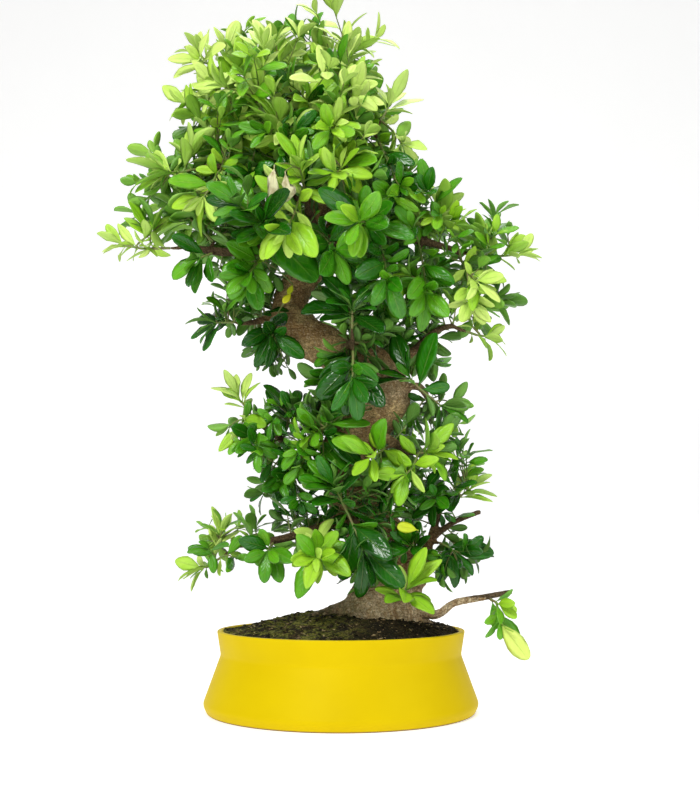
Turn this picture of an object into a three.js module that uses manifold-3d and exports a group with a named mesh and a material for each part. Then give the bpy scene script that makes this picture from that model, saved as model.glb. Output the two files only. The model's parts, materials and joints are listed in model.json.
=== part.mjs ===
// A firethorn bonsai in its pot: an old twisted trunk on a mound of soil, with leafy sprays on its limbs.
// Millimetres, +Z up. The origin is the centre of the pot's underside, and -Y faces the viewer.

import * as THREE from "three";
import { mergeVertices } from "three/addons/utils/BufferGeometryUtils.js";
import Module from "manifold-3d";

// Driving dimensions of the pot
const ROUND_SIDES = 30;
const RIM_HEIGHT = 70.5;
const RIM_RADIUS = 110;
const WAIST_HEIGHT = 49.5;
const WAIST_RADIUS = 106.5;
const WIDEST_HEIGHT = 7.5;
const WIDEST_RADIUS = 121.6;
const FOOT_RADIUS = 118;
const WALL = 5.2;
const FLOOR = 6;
const TOUCHING_GAP = 0.3;

// Driving dimensions of the soil, and of the round root ball that stands in its hole
const SOIL_EDGE_HEIGHT = 67.5;
const MOUND_HEIGHT = 20;
const MOUND_CENTRE_X = 10;
const MOUND_RADIUS = 106;
const LUMP_HEIGHT = 1.1;
const SOIL_RINGS = [0.74, 0.42];
const ROOT_BALL = { x: 39, y: 0, radius: 21.5, bottom: 40, top: 91, sides: 12 };

// Driving dimensions of the wood and the leaves
const TRUNK_SIDES = 12;
const TRUNK_OVAL = 0.05;
const TRUNK_FLUTES = 0.04;
const ROOT_SIDES = 7;
const LIMB_SIDES = 4;
const STEM_SIDES = 3;
const TWIG_LENGTH = 12;
const TWIG_RADII = [1.9, 1.7];
const THORN_RADII = [1.3, 0.35];
const STEM_RADIUS = 1.3;
const NODE_HEIGHT = 1.6;
const NODE_ROLL = 0.7;
const BLADE_THICKNESS = 0.72;
const UP = new THREE.Vector3(0, 0, 1);

// How stems bow and leaves stand: shares of a length, and angles in radians
const FIRST_NODE = 0.14;
const LAST_NODE = 0.97;
const STEM_BOW = { young: -0.1, mature: 0.08 };
const STEM_TRIES = 10;
const LEAF_TRIES = 45;
const LEAF_RISE = { young: [0.35, 0.35], mature: [0, -0.25] };
const SPREAD_AT_BASE = 1.2;
const SPREAD_AT_TIP = 0.65;
const SPREAD_STEP = 0.22;
const SWING_STEP = 0.32;
const LEAST_LEAN_OFF_FACE = 0.4;
const TIP_LEAF_SIZE = 0.86;
const SHORTER_STEP = 0.14;
const HALF_WIDTHS = [0.18, 0.25];
const BENDS = [0.12, 0.87];
const LIGHT = new THREE.Vector3(0.05, -0.62, 0.78);

// The trunk's centre line from the soil to the top: x, y, z and radius
const TRUNK = [
  [39, 0, 72, 32], [44, 2, 96, 27], [50, 4, 121, 23.4], [36, 2, 149, 23], [16, -2, 175, 22.6],
  [4, -8, 200, 21.6], [4, -14, 225, 21.5], [19, -18, 251, 20.6], [38, -18, 277, 20.7], [29, -14, 301, 20],
  [-4, -8, 319, 18.7], [-34, -2, 337, 18], [-47, 4, 363, 16.2], [-38, 8, 390, 14.5], [-22, 8, 413, 13],
  [-14, 6, 436, 11], [-19, 4, 461, 9.4], [-30, 2, 487, 7.5], [-39, 0, 513, 6], [-43, 0, 544, 4.7],
];

// Swellings of the trunk: its station on the centre line, the side it stands out on, how far and how long
const SWELLINGS = [
  { at: 0.5, toward: [-0.92, -0.38, 0], out: 13, span: 1.1 },
  { at: 0.2, toward: [0.98, -0.2, 0], out: 4, span: 0.9 },
  { at: 0.2, toward: [0.2, -0.98, 0], out: 7, span: 0.9 },
  { at: 4.2, toward: [0.7, -0.7, 0], out: 4, span: 0.8 },
  { at: 8, toward: [0.75, -0.66, 0], out: 4, span: 0.8 },
  { at: 11.4, toward: [-0.8, -0.3, 0.5], out: 3, span: 0.8 },
];

// Roots that lie on the soil, half sunk in it
const ROOTS = [
  [[30, -4, 92, 15], [2, -14, 84, 12], [-26, -20, 77, 8.5], [-52, -20, 70, 5]],
  [[48, -2, 90, 13], [70, -8, 77, 8], [86, -12, 64, 4]],
  [[40, -10, 92, 13], [42, -34, 79, 8], [38, -54, 67, 4]],
  [[38, 10, 92, 13], [28, 38, 82, 9], [16, 60, 70, 4]],
];

// Limbs: where each leaves the trunk or another limb, then x, y, z and radius at its bends
const LIMBS = [
  { name: "leader", from: ["trunk", 19], rows: [[-50, 0, 570, 3.4], [-60, -5, 580, 2.6]] },
  { name: "top_right", from: ["trunk", 18], rows: [[-20, 10, 550, 3.8], [-5, 10, 575, 2.8]] },
  { name: "top_back", from: ["trunk", 18], rows: [[-35, 35, 555, 3.6], [-30, 55, 585, 2.8]] },
  { name: "top_left", from: ["trunk", 17],
    rows: [[-60, 5, 525, 4.2], [-90, 5, 555, 3.4], [-110, 5, 580, 2.6]] },
  { name: "right_upper", from: ["trunk", 17], rows: [[5, -10, 510, 4.2], [30, -20, 525, 3]] },
  { name: "left_upper", from: ["trunk", 16],
    rows: [[-60, -25, 470, 4.5], [-95, -40, 480, 3.6], [-120, -40, 485, 2.6]] },
  { name: "left_back", from: ["trunk", 16], rows: [[-55, 40, 485, 4.5], [-95, 70, 505, 3.2]] },
  { name: "right_arm", from: ["trunk", 15],
    rows: [[30, -20, 430, 5.2], [70, -25, 420, 4], [105, -25, 410, 2.8]] },
  { name: "right_back", from: ["trunk", 15], rows: [[25, 40, 440, 4.6], [60, 70, 445, 3.2]] },
  { name: "crown_front", from: ["trunk", 14], rows: [[-25, -35, 430, 4.5], [-30, -60, 440, 3.2]] },
  { name: "left_arm", from: ["trunk", 14],
    rows: [[-65, -25, 410, 5], [-105, -40, 405, 4], [-140, -40, 410, 2.8]] },
  { name: "hanging_left", from: ["trunk", 12], rows: [[-70, -10, 350, 3.6], [-85, -15, 345, 2.6]] },
  { name: "bend_front", from: ["trunk", 10], rows: [[5, -40, 320, 4], [10, -60, 320, 3]] },
  { name: "right_lower", from: ["trunk", 9],
    rows: [[60, -20, 315, 4], [85, -30, 335, 3.2], [100, -30, 340, 2.6]] },
  { name: "knob", from: ["trunk", 8], rows: [[66, -34, 285, 3.6], [76, -36, 275, 2.6]] },
  { name: "mid_right", from: ["trunk", 7], rows: [[45, -40, 235, 4], [60, -45, 225, 2.8]] },
  { name: "mid_back", from: ["trunk", 6], rows: [[10, 30, 240, 4.2], [20, 60, 260, 3]] },
  { name: "mid_left", from: ["trunk", 5],
    rows: [[-35, -10, 220, 4.2], [-55, -10, 240, 3.4], [-75, -5, 255, 2.6]] },
  { name: "low_left", from: ["trunk", 4],
    rows: [[-20, -20, 160, 4.4], [-55, -35, 150, 3.4], [-90, -40, 145, 2.6]] },
  { name: "low_back", from: ["trunk", 4], rows: [[30, 35, 185, 3.6], [40, 60, 195, 2.8]] },
  { name: "low_front", from: ["trunk", 4], rows: [[10, -50, 165, 3.4]] },
  { name: "low_right", from: ["trunk", 1],
    rows: [[70, 0, 110, 5.2], [75, 0, 130, 4.6], [80, -5, 150, 4], [90, -5, 180, 2.8]] },
  { name: "cut_stub", from: ["low_right", 3], rows: [[100, -10, 165, 2.8], [125, -10, 175, 2.4]] },
  { name: "base_right", from: ["trunk", 1],
    rows: [[80, -20, 85, 4.2], [100, -20, 95, 3.4], [125, -25, 100, 3], [150, -25, 105, 2.4]] },
  { name: "base_front", from: ["trunk", 1], rows: [[50, -48, 100, 3]] },
];

// Thorns: the limb, the station on it, and the thorn's tip
const THORNS = [
  { limb: "base_right", at: 2.5, tip: [108, -30, 108] },
  { limb: "base_right", at: 3.4, tip: [139, -16, 112] },
  { limb: "cut_stub", at: 1.3, tip: [112, -20, 178] },
];

// Sprays: the limb and its bend that each grows from, then x, y, z of each growing tip,
// with the number of leaves on that stem and their length
const SPRAYS = [
  { limb: "leader", row: 2, age: "young", tips: [[-60, -10, 590, 6, 46]] },
  { limb: "leader", row: 1, age: "young", tips: [[-30, -40, 545, 6, 36]] },
  { limb: "top_right", row: 2, age: "young", tips: [[-10, 10, 610, 3, 46], [10, 5, 610, 6, 36]] },
  { limb: "top_right", row: 1, age: "young", tips: [[10, -20, 570, 5, 36], [25, 10, 565, 5, 36]] },
  { limb: "top_right", row: 1, age: "young", tips: [[-5, -60, 515, 6, 37]] },
  { limb: "top_back", row: 2, age: "young", tips: [[-45, 70, 630, 6, 37], [5, 85, 615, 6, 37]] },
  { limb: "top_back", row: 1, age: "mature", tips: [[-60, 100, 580, 6, 37]] },
  { limb: "top_left", row: 3, age: "young", tips: [[-135, 5, 610, 6, 33], [-110, 15, 600, 6, 35]] },
  { limb: "top_left", row: 2, age: "young", tips: [[-120, -5, 565, 6, 37], [-100, -20, 530, 6, 40]] },
  { limb: "top_left", row: 1, age: "young", tips: [[-75, -40, 550, 6, 40], [-100, 15, 495, 4, 36]] },
  { limb: "right_upper", row: 2, age: "young", tips: [[45, -20, 550, 6, 37], [55, -25, 510, 5, 33]] },
  { limb: "right_upper", row: 2, age: "mature", tips: [[50, -40, 470, 6, 37]] },
  { limb: "right_upper", row: 1, age: "young", tips: [[-5, -95, 460, 6, 38]] },
  { limb: "left_upper", row: 3, age: "young", tips: [[-155, -50, 475, 6, 44], [-135, -45, 495, 5, 36]] },
  { limb: "left_upper", row: 2, age: "young", tips: [[-115, -30, 510, 6, 35], [-120, -70, 445, 6, 37]] },
  { limb: "left_upper", row: 1, age: "young", tips: [[-55, -55, 520, 7, 44]] },
  { limb: "left_back", row: 2, age: "mature", tips: [[-145, 95, 505, 6, 36], [-115, 95, 570, 6, 36]] },
  { limb: "left_back", row: 1, age: "mature", tips: [[-105, 90, 455, 6, 37], [-35, 68, 440, 4, 37]] },
  { limb: "right_arm", row: 3, age: "young", tips: [[160, -30, 405, 6, 30], [130, -25, 415, 6, 40]] },
  { limb: "right_arm", row: 3, age: "young", tips: [[120, -50, 375, 6, 33], [115, -40, 360, 5, 30]] },
  { limb: "right_arm", row: 2, age: "young", tips: [[90, -20, 445, 6, 40], [60, 25, 470, 6, 37]] },
  { limb: "right_arm", row: 2, age: "mature", tips: [[75, -50, 365, 6, 37], [40, -5, 375, 4, 36]] },
  { limb: "right_arm", row: 1, age: "mature", tips: [[40, -80, 370, 6, 42]] },
  { limb: "right_arm", row: 1, age: "mature", tips: [[15, -100, 415, 6, 46]] },
  { limb: "right_back", row: 2, age: "mature", tips: [[100, 95, 470, 6, 37], [85, 90, 405, 6, 37]] },
  { limb: "right_back", row: 1, age: "mature", tips: [[45, 90, 515, 6, 37], [-5, 58, 500, 4, 36]] },
  { limb: "crown_front", row: 2, age: "young", tips: [[-35, -100, 465, 6, 36], [-45, -110, 405, 6, 40]] },
  { limb: "crown_front", row: 1, age: "mature", tips: [[-5, -80, 395, 6, 42]] },
  { limb: "left_arm", row: 3, age: "young", tips: [[-195, -45, 410, 6, 29], [-170, -45, 420, 6, 35]] },
  { limb: "left_arm", row: 2, age: "mature", tips: [[-145, -30, 445, 6, 37], [-120, 5, 420, 3, 34]] },
  { limb: "left_arm", row: 2, age: "mature", tips: [[-125, -55, 395, 6, 35]] },
  { limb: "left_arm", row: 1, age: "mature", tips: [[-80, -60, 380, 6, 37]] },
  { limb: "left_arm", row: 1, age: "mature", tips: [[-65, -100, 415, 3, 62], [-85, -100, 430, 6, 35]] },
  { limb: "hanging_left", row: 2, age: "mature", tips: [[-115, -15, 345, 6, 31]] },
  { limb: "hanging_left", row: 1, age: "mature", tips: [[-60, -30, 330, 6, 36]] },
  { limb: "bend_front", row: 2, age: "mature", tips: [[10, -80, 345, 6, 44]] },
  { limb: "bend_front", row: 2, age: "mature", tips: [[10, -80, 285, 6, 42]] },
  { limb: "right_lower", row: 3, age: "young", tips: [[130, -30, 330, 6, 30], [115, -25, 355, 6, 30]] },
  { limb: "right_lower", row: 2, age: "mature", tips: [[75, 0, 325, 5, 37]] },
  { limb: "knob", row: 2, age: "mature", tips: [[90, -38, 265, 6, 30], [60, -50, 290, 3, 50]] },
  { limb: "mid_right", row: 2, age: "young", tips: [[75, -55, 225, 7, 37], [55, -65, 205, 5, 35]] },
  { limb: "mid_right", row: 1, age: "young", tips: [[25, -70, 220, 6, 36]] },
  { limb: "mid_back", row: 2, age: "mature", tips: [[-10, 90, 285, 6, 37], [60, 90, 270, 6, 37]] },
  { limb: "mid_left", row: 3, age: "young", tips: [[-95, -5, 280, 7, 31], [-90, -15, 250, 5, 35]] },
  { limb: "mid_left", row: 2, age: "mature", tips: [[-45, -15, 262, 6, 35]] },
  { limb: "mid_left", row: 1, age: "mature", tips: [[-45, -20, 205, 6, 35]] },
  { limb: "mid_left", row: 1, age: "mature", tips: [[-10, -55, 250, 7, 46]] },
  { limb: "low_left", row: 3, age: "young", tips: [[-120, -40, 125, 6, 30], [-105, -35, 155, 5, 30]] },
  { limb: "low_left", row: 2, age: "mature", tips: [[-62, -60, 140, 6, 33]] },
  { limb: "low_left", row: 1, age: "young", tips: [[-20, -80, 135, 7, 37]] },
  { limb: "low_front", row: 1, age: "mature", tips: [[-5, -70, 195, 6, 37], [20, -80, 140, 5, 50]] },
  { limb: "low_back", row: 2, age: "mature", tips: [[75, 90, 190, 6, 36], [20, 90, 160, 6, 36]] },
  { limb: "low_right", row: 4, age: "young", tips: [[115, -10, 195, 6, 31]] },
  { limb: "low_right", row: 3, age: "mature", tips: [[100, -25, 140, 6, 35]] },
  { limb: "low_right", row: 2, age: "mature", tips: [[60, -40, 145, 5, 37]] },
  { limb: "base_right", row: 3, age: "mature", tips: [[135, -45, 95, 6, 26], [135, -50, 80, 2, 40]] },
  { limb: "base_front", row: 1, age: "young", tips: [[55, -80, 110, 7, 42]] },
];

// Numbers and lines

// Gives a number from 0 to 1 that is always the same for the same three whole numbers.
function draw(a, b, c) {
  const wave = Math.sin(12.9898 * a + 78.233 * b + 37.719 * c) * 43758.5453;
  return wave - Math.floor(wave);
}

// The number at a share of the way from the first of two numbers to the second.
function between([low, high], share) {
  return low + (high - low) * share;
}

function vector(row) {
  return new THREE.Vector3(row[0], row[1], row[2]);
}

// The values on a smooth line through a list of rows, at a station counted in rows.
function along(rows, station) {
  const last = rows.length - 1;
  const i = Math.min(Math.floor(station), last - 1);
  const t = station - i;
  const a = rows[Math.max(i - 1, 0)];
  const b = rows[i];
  const c = rows[i + 1];
  const d = rows[Math.min(i + 2, last)];
  return b.map((value, k) => {
    const cubic = 3 * (value - c[k]) + d[k] - a[k];
    const square = 2 * a[k] - 5 * value + 4 * c[k] - d[k];
    return value + 0.5 * t * (c[k] - a[k] + t * (square + t * cubic));
  });
}

// A bowed stem is a curve from one point to another that leans towards a third.
function pointOn(stem, t) {
  const point = stem.from.clone().multiplyScalar((1 - t) * (1 - t));
  return point.addScaledVector(stem.over, 2 * t * (1 - t)).addScaledVector(stem.to, t * t);
}

function headingOn(stem, t) {
  const first = stem.over.clone().sub(stem.from).multiplyScalar(1 - t);
  return first.addScaledVector(stem.to.clone().sub(stem.over), t).normalize();
}

// Solids

function solid(positions, triangles) {
  const mesh = new wasm.Mesh({
    numProp: 3,
    vertProperties: new Float32Array(positions.flatMap((p) => [p.x, p.y, p.z])),
    triVerts: new Uint32Array(triangles.flat()),
  });
  return new wasm.Manifold(mesh);
}

function solidFromGeometry(geometry) {
  const plain = geometry.clone();
  plain.deleteAttribute("normal");
  plain.deleteAttribute("uv");
  const merged = mergeVertices(plain, 1e-4);
  const mesh = new wasm.Mesh({
    numProp: 3,
    vertProperties: new Float32Array(merged.attributes.position.array),
    triVerts: new Uint32Array(merged.index.array),
  });
  return new wasm.Manifold(mesh);
}

// A face is a list of three points, and the faces of a closed body share their corners.
function solidFromFaces(faces) {
  return solidFromGeometry(new THREE.BufferGeometry().setFromPoints(faces.flat()));
}

function geometryFromSolid(body) {
  const mesh = body.getMesh();
  const geometry = new THREE.BufferGeometry();
  geometry.setAttribute("position", new THREE.BufferAttribute(new Float32Array(mesh.vertProperties), 3));
  geometry.setIndex(new THREE.BufferAttribute(new Uint32Array(mesh.triVerts), 1));
  geometry.computeVertexNormals();
  return geometry;
}

function joined(bodies) {
  return bodies.reduce((whole, body) => whole.add(body));
}

// A closed tube with flat ends through rows of x, y, z and radius. The outward step of each corner
// is its radius, or what the swell function makes of it.
function tube(rows, sides, swell = (radius) => radius) {
  const centres = rows.map(vector);
  const positions = [];
  let side = null;
  centres.forEach((centre, i) => {
    const before = centres[Math.max(i - 1, 0)];
    const after = centres[Math.min(i + 1, centres.length - 1)];
    const heading = after.clone().sub(before).normalize();
    if (side === null) {
      side = Math.abs(heading.z) > 0.9 ? new THREE.Vector3(1, 0, 0) : new THREE.Vector3(0, 0, 1);
    }
    side = side.clone().addScaledVector(heading, -side.dot(heading)).normalize();
    const across = heading.clone().cross(side);
    for (let j = 0; j < sides; j++) {
      const angle = (2 * Math.PI * j) / sides;
      const outward = side.clone().multiplyScalar(Math.cos(angle)).addScaledVector(across, Math.sin(angle));
      positions.push(centre.clone().addScaledVector(outward, swell(rows[i][3], i, outward)));
    }
  });
  const triangles = [];
  for (let i = 0; i + 1 < rows.length; i++) {
    for (let j = 0; j < sides; j++) {
      const a = i * sides + j;
      const b = i * sides + ((j + 1) % sides);
      triangles.push([a, b, b + sides], [a, b + sides, a + sides]);
    }
  }
  const top = (rows.length - 1) * sides;
  for (let j = 1; j + 1 < sides; j++) {
    triangles.push([0, j + 1, j], [top, top + j, top + j + 1]);
  }
  return solid(positions, triangles);
}

// Pot and soil

function turned(profile) {
  const geometry = new THREE.LatheGeometry(profile.map(([r, z]) => new THREE.Vector2(r, z)), ROUND_SIDES);
  return geometry.rotateX(Math.PI / 2);
}

function potGeometry() {
  return turned([
    [0, 0], [FOOT_RADIUS, 0], [WIDEST_RADIUS, WIDEST_HEIGHT], [WAIST_RADIUS, WAIST_HEIGHT],
    [RIM_RADIUS, RIM_HEIGHT], [RIM_RADIUS - WALL, RIM_HEIGHT], [WAIST_RADIUS - WALL, WAIST_HEIGHT],
    [FOOT_RADIUS - WALL, FLOOR], [0, FLOOR],
  ]);
}

function soilHeight(x, y) {
  const away = Math.hypot(x - MOUND_CENTRE_X, y) / MOUND_RADIUS;
  const mound = MOUND_HEIGHT * Math.pow(Math.max(0, 1 - away * away), 1.2);
  return SOIL_EDGE_HEIGHT + mound + LUMP_HEIGHT * Math.sin(x / 9) * Math.cos(y / 11);
}

// The soil without its hole, or the same form lifted by a gap, which trims what lies on the soil.
function soilBody(lift) {
  const edge = RIM_RADIUS - WALL - 2 * TOUCHING_GAP;
  const waist = WAIST_RADIUS - WALL - TOUCHING_GAP;
  const foot = FOOT_RADIUS - WALL - TOUCHING_GAP;
  const geometry = turned([
    [0, FLOOR + TOUCHING_GAP], [foot, FLOOR + TOUCHING_GAP], [waist, WAIST_HEIGHT],
    [edge, SOIL_EDGE_HEIGHT], ...SOIL_RINGS.map((share) => [share * edge, SOIL_EDGE_HEIGHT]),
    [0, SOIL_EDGE_HEIGHT],
  ]);
  const position = geometry.attributes.position;
  for (let i = 0; i < position.count; i++) {
    const [x, y, z] = [position.getX(i), position.getY(i), position.getZ(i)];
    if (z > SOIL_EDGE_HEIGHT - 0.01 && Math.hypot(x, y) < edge - 1) {
      position.setZ(i, soilHeight(x, y) + lift);
    } else if (z > SOIL_EDGE_HEIGHT - 0.01) {
      position.setZ(i, z + lift);
    }
  }
  return solidFromGeometry(geometry);
}

function rootBall(gap) {
  const { x, y, radius, bottom, top, sides } = ROOT_BALL;
  return tube([[x, y, bottom - gap, radius + gap], [x, y, top + gap, radius + gap]], sides);
}

// Wood: trunk, root ball, roots on the soil, limbs, twigs and thorns in one piece

function swelledRadius(radius, station, outward) {
  const twist = Math.atan2(outward.y, outward.x) + 0.5 * station;
  const oval = TRUNK_OVAL * Math.sin(2 * twist);
  const flutes = TRUNK_FLUTES * Math.sin(3 * twist + 1.3 * station);
  let result = radius * (1 + oval + flutes);
  for (const { at, toward, out, span } of SWELLINGS) {
    const facing = Math.max(0, outward.dot(vector(toward)));
    result += out * facing * facing * Math.exp(-(((station - at) / span) ** 2));
  }
  return result;
}

function trunkBody() {
  const stations = [];
  for (let station = 0; station < TRUNK.length - 1; station += station < 12 ? 0.5 : 1) {
    stations.push(station);
  }
  stations.push(TRUNK.length - 1);
  const rows = stations.map((station) => along(TRUNK, station));
  return tube(rows, TRUNK_SIDES, (radius, i, outward) => swelledRadius(radius, stations[i], outward));
}

// The rows of a limb, with the point inside the wood that it grows from first.
function limbRows(name) {
  const limb = LIMBS.find((one) => one.name === name);
  const [parent, station] = limb.from;
  const start = parent === "trunk" ? along(TRUNK, station) : limbRows(parent)[station];
  const radius = Math.min(start[3], 1.25 * limb.rows[0][3]);
  return [[start[0], start[1], start[2], radius], ...limb.rows];
}

function thornBody({ limb, at, tip }) {
  const [x, y, z] = along(limbRows(limb), at);
  return tube([[x, y, z, THORN_RADII[0]], [...tip, THORN_RADII[1]]], STEM_SIDES);
}

// Sprays: bowed stems with leaf nodes along them, the first stem on its woody twig and the others
// branching off its lowest node

// Splits a stem's leaves over its nodes, up to three at each, with most of them at the tip.
function leavesPerNode(leaves) {
  const nodes = Math.max(2, Math.round(leaves / 2.4));
  const counts = [];
  let left = leaves;
  for (let below = nodes - 1; below >= 0; below--) {
    const count = Math.min(STEM_SIDES, left - below);
    counts.unshift(count);
    left -= count;
  }
  return counts;
}

// The nodes of a stem: place, heading and an across pair that is carried along without twisting.
function nodesOf(stem, seed) {
  const counts = leavesPerNode(stem.asked);
  const first = stem.twigEnd + FIRST_NODE * (1 - stem.twigEnd);
  const heading = headingOn(stem, stem.twigEnd);
  let side = Math.abs(heading.z) > 0.9 ? new THREE.Vector3(1, 0, 0) : new THREE.Vector3(0, 0, 1);
  return counts.map((count, m) => {
    const t = first + ((LAST_NODE - first) * (m + 1)) / counts.length;
    const ahead = headingOn(stem, t);
    side = side.clone().addScaledVector(ahead, -side.dot(ahead)).normalize();
    const roll = 2 * Math.PI * draw(seed, 1, 1) + NODE_ROLL * m;
    return { count, point: pointOn(stem, t), heading: ahead, side, across: ahead.clone().cross(side), roll };
  });
}

function outwardAt(node, angle) {
  return node.side.clone().multiplyScalar(Math.cos(angle)).addScaledVector(node.across, Math.sin(angle));
}

// The rings of corners of a stem: one at its start, then one below and one above each node.
function ringsOf(stem) {
  const ring = (node, step) => {
    const centre = node.point.clone().addScaledVector(node.heading, step);
    return Array.from({ length: STEM_SIDES }, (_, j) => {
      const outward = outwardAt(node, node.roll + (2 * Math.PI * j) / STEM_SIDES);
      return centre.clone().addScaledVector(outward, STEM_RADIUS);
    });
  };
  const heading = headingOn(stem, stem.twigEnd);
  const first = stem.nodes[0];
  const side = first.side.clone().addScaledVector(heading, -first.side.dot(heading)).normalize();
  const across = heading.clone().cross(side);
  const start = { point: pointOn(stem, stem.twigEnd), heading, side, across, roll: first.roll };
  const rings = [ring(start, stem.isMain ? TOUCHING_GAP : 0)];
  stem.nodes.forEach((node) => rings.push(ring(node, -NODE_HEIGHT / 2), ring(node, NODE_HEIGHT / 2)));
  return rings;
}

// The four corners of a stem's side face, between a ring and the next.
function seatOf(stem, ring, face) {
  const next = (face + 1) % STEM_SIDES;
  const [lower, upper] = [stem.rings[ring], stem.rings[ring + 1]];
  return [lower[face], lower[next], upper[next], upper[face]];
}

// The faces of a bare stem, without those that its leaves stand on.
function stemFaces(stem) {
  const [bottom, top] = [stem.rings[0], stem.rings.at(-1)];
  const faces = [[bottom[0], bottom[2], bottom[1]], [top[0], top[1], top[2]]];
  for (let ring = 0; ring + 1 < stem.rings.length; ring++) {
    for (let face = 0; face < STEM_SIDES; face++) {
      if (stem.leaves.some((leaf) => 2 * leaf.m + 1 === ring && leaf.face === face)) continue;
      const [a, b, c, d] = seatOf(stem, ring, face);
      faces.push([a, b, c], [a, c, d]);
    }
  }
  return faces;
}

function leafyFaces(stem) {
  return [...stemFaces(stem), ...stem.leaves.flatMap((leaf) => leaf.faces)];
}

function stemsOf(spray, number, room) {
  const base = vector(limbRows(spray.limb)[spray.row]);
  const stems = [];
  for (const [x, y, z, leaves, length] of spray.tips) {
    const seed = 7 * number + 3 * stems.length;
    const isMain = stems.length === 0;
    const from = isMain ? base : stems[0].nodes[0].point;
    const to = new THREE.Vector3(x, y, z);
    const reach = from.distanceTo(to);
    const twigEnd = isMain ? Math.min(TWIG_LENGTH / reach, 0.45) : 0;
    let stem = null;
    for (let attempt = 0; attempt < STEM_TRIES; attempt++) {
      const over = from.clone().lerp(to, 0.5).addScaledVector(UP, STEM_BOW[spray.age] * reach);
      const lean = new THREE.Vector3(draw(seed, 2, attempt) - 0.5, draw(seed, 3, attempt) - 0.5, 0);
      over.addScaledVector(lean, (0.1 + 0.09 * attempt) * reach);
      stem = { from, over, to, twigEnd, reach, asked: leaves, leaves: [], length, isMain, seed };
      if (room.isFree(ballsAlong(stem, number).slice(2))) break;
    }
    stem.nodes = nodesOf(stem, seed);
    stem.rings = ringsOf(stem);
    stems.push(stem);
    room.take(ballsAlong(stem, number));
  }
  return stems;
}

// Room that is already taken, kept as balls in a grid of cells. Balls of one owner may overlap.
class Room {
  constructor() {
    this.cells = new Map();
    this.cell = 14;
  }

  cellsAround(ball) {
    const names = [];
    const low = [ball.x, ball.y, ball.z].map((value) => Math.floor((value - ball.radius) / this.cell));
    const high = [ball.x, ball.y, ball.z].map((value) => Math.floor((value + ball.radius) / this.cell));
    for (let i = low[0]; i <= high[0]; i++) {
      for (let j = low[1]; j <= high[1]; j++) {
        for (let k = low[2]; k <= high[2]; k++) names.push(`${i},${j},${k}`);
      }
    }
    return names;
  }

  take(balls) {
    for (const ball of balls) {
      for (const name of this.cellsAround(ball)) {
        if (!this.cells.has(name)) this.cells.set(name, []);
        this.cells.get(name).push(ball);
      }
    }
  }

  isFree(balls) {
    return balls.every((ball) => this.cellsAround(ball).every((name) => {
      const others = this.cells.get(name) || [];
      return others.every((other) => other.owner === ball.owner
        || Math.hypot(other.x - ball.x, other.y - ball.y, other.z - ball.z) >= other.radius + ball.radius);
    }));
  }
}

function ballAt(point, radius, owner) {
  return { x: point.x, y: point.y, z: point.z, radius, owner };
}

function ballsOfRows(rows, spacing, margin) {
  const balls = [];
  for (let i = 0; i + 1 < rows.length; i++) {
    const steps = Math.ceil(vector(rows[i]).distanceTo(vector(rows[i + 1])) / spacing);
    for (let k = 0; k < steps; k++) {
      const row = along(rows, i + k / steps);
      balls.push(ballAt(vector(row), row[3] + margin, "wood"));
    }
  }
  return balls;
}

function ballsAlong(stem, owner) {
  const balls = [];
  const steps = Math.ceil(stem.reach / 4);
  for (let k = 0; k <= steps; k++) {
    const t = k / steps;
    balls.push(ballAt(pointOn(stem, t), 2.6, t < stem.twigEnd ? "wood" : owner));
  }
  return balls;
}

// Leaves: each grows out of one face of its stem's node and arches along its length

// The sections of a blade between its root and its tip: shares of its length and half width
const BLADE_SECTIONS = [[0.34, 0.68], [0.74, 0.96]];

function leafOn(stem, spray, m, face, attempt) {
  const node = stem.nodes[m];
  const code = stem.seed + 0.1 * m;
  const share = (m + 1) / stem.nodes.length;
  const faceAngle = node.roll + ((2 * face + 1) * Math.PI) / STEM_SIDES;
  const faceNormal = outwardAt(node, faceAngle);
  const swing = SWING_STEP * ((attempt % 5) - 2) + between([-0.2, 0.2], draw(code, face, 2));
  const radial = outwardAt(node, faceAngle + swing);
  let spread = between([SPREAD_AT_BASE, SPREAD_AT_TIP], share);
  spread += SPREAD_STEP * ((attempt % 3) - 1) + between([-0.15, 0.15], draw(code, face, 3));
  const ahead = node.heading.clone().multiplyScalar(Math.cos(spread));
  ahead.addScaledVector(radial, Math.sin(spread));
  ahead.addScaledVector(UP, between(LEAF_RISE[spray.age], draw(code, face, 4))).normalize();
  ahead.addScaledVector(faceNormal, Math.max(0, LEAST_LEAN_OFF_FACE - ahead.dot(faceNormal))).normalize();
  const upper = node.heading.clone().multiplyScalar(0.6 * Math.sin(spread));
  upper.addScaledVector(radial, -0.6 * Math.cos(spread)).addScaledVector(LIGHT, 0.8);
  upper.addScaledVector(radial.cross(node.heading), between([-0.3, 0.3], draw(code, face, 5)));
  upper.addScaledVector(ahead, -upper.dot(ahead)).normalize();
  const size = (share === 1 ? TIP_LEAF_SIZE : 1) * between([0.86, 1.14], draw(code, face, 6));
  const length = stem.length * size * (1 - SHORTER_STEP * Math.floor(attempt / 15));
  const leaf = {
    root: node.point.clone().addScaledVector(faceNormal, 0.5 * STEM_RADIUS),
    ahead, upper, length, m, face,
    left: upper.clone().cross(ahead),
    halfWidth: length * between(HALF_WIDTHS, draw(code, face, 7)),
    bend: between(BENDS, draw(code, face, 8) ** 2),
  };
  leaf.faces = bladeFaces(leaf, seatOf(stem, 2 * m + 1, face));
  return leaf;
}

// The point of a blade at a share of its length and of its half width.
function pointOfBlade(leaf, u, v) {
  const { root, ahead, upper, left, length, halfWidth, bend } = leaf;
  const angle = bend * u;
  const point = root.clone().addScaledVector(ahead, (length * Math.sin(angle)) / bend);
  point.addScaledVector(upper, (-length * (1 - Math.cos(angle))) / bend);
  return point.addScaledVector(left, v * halfWidth);
}

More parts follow.
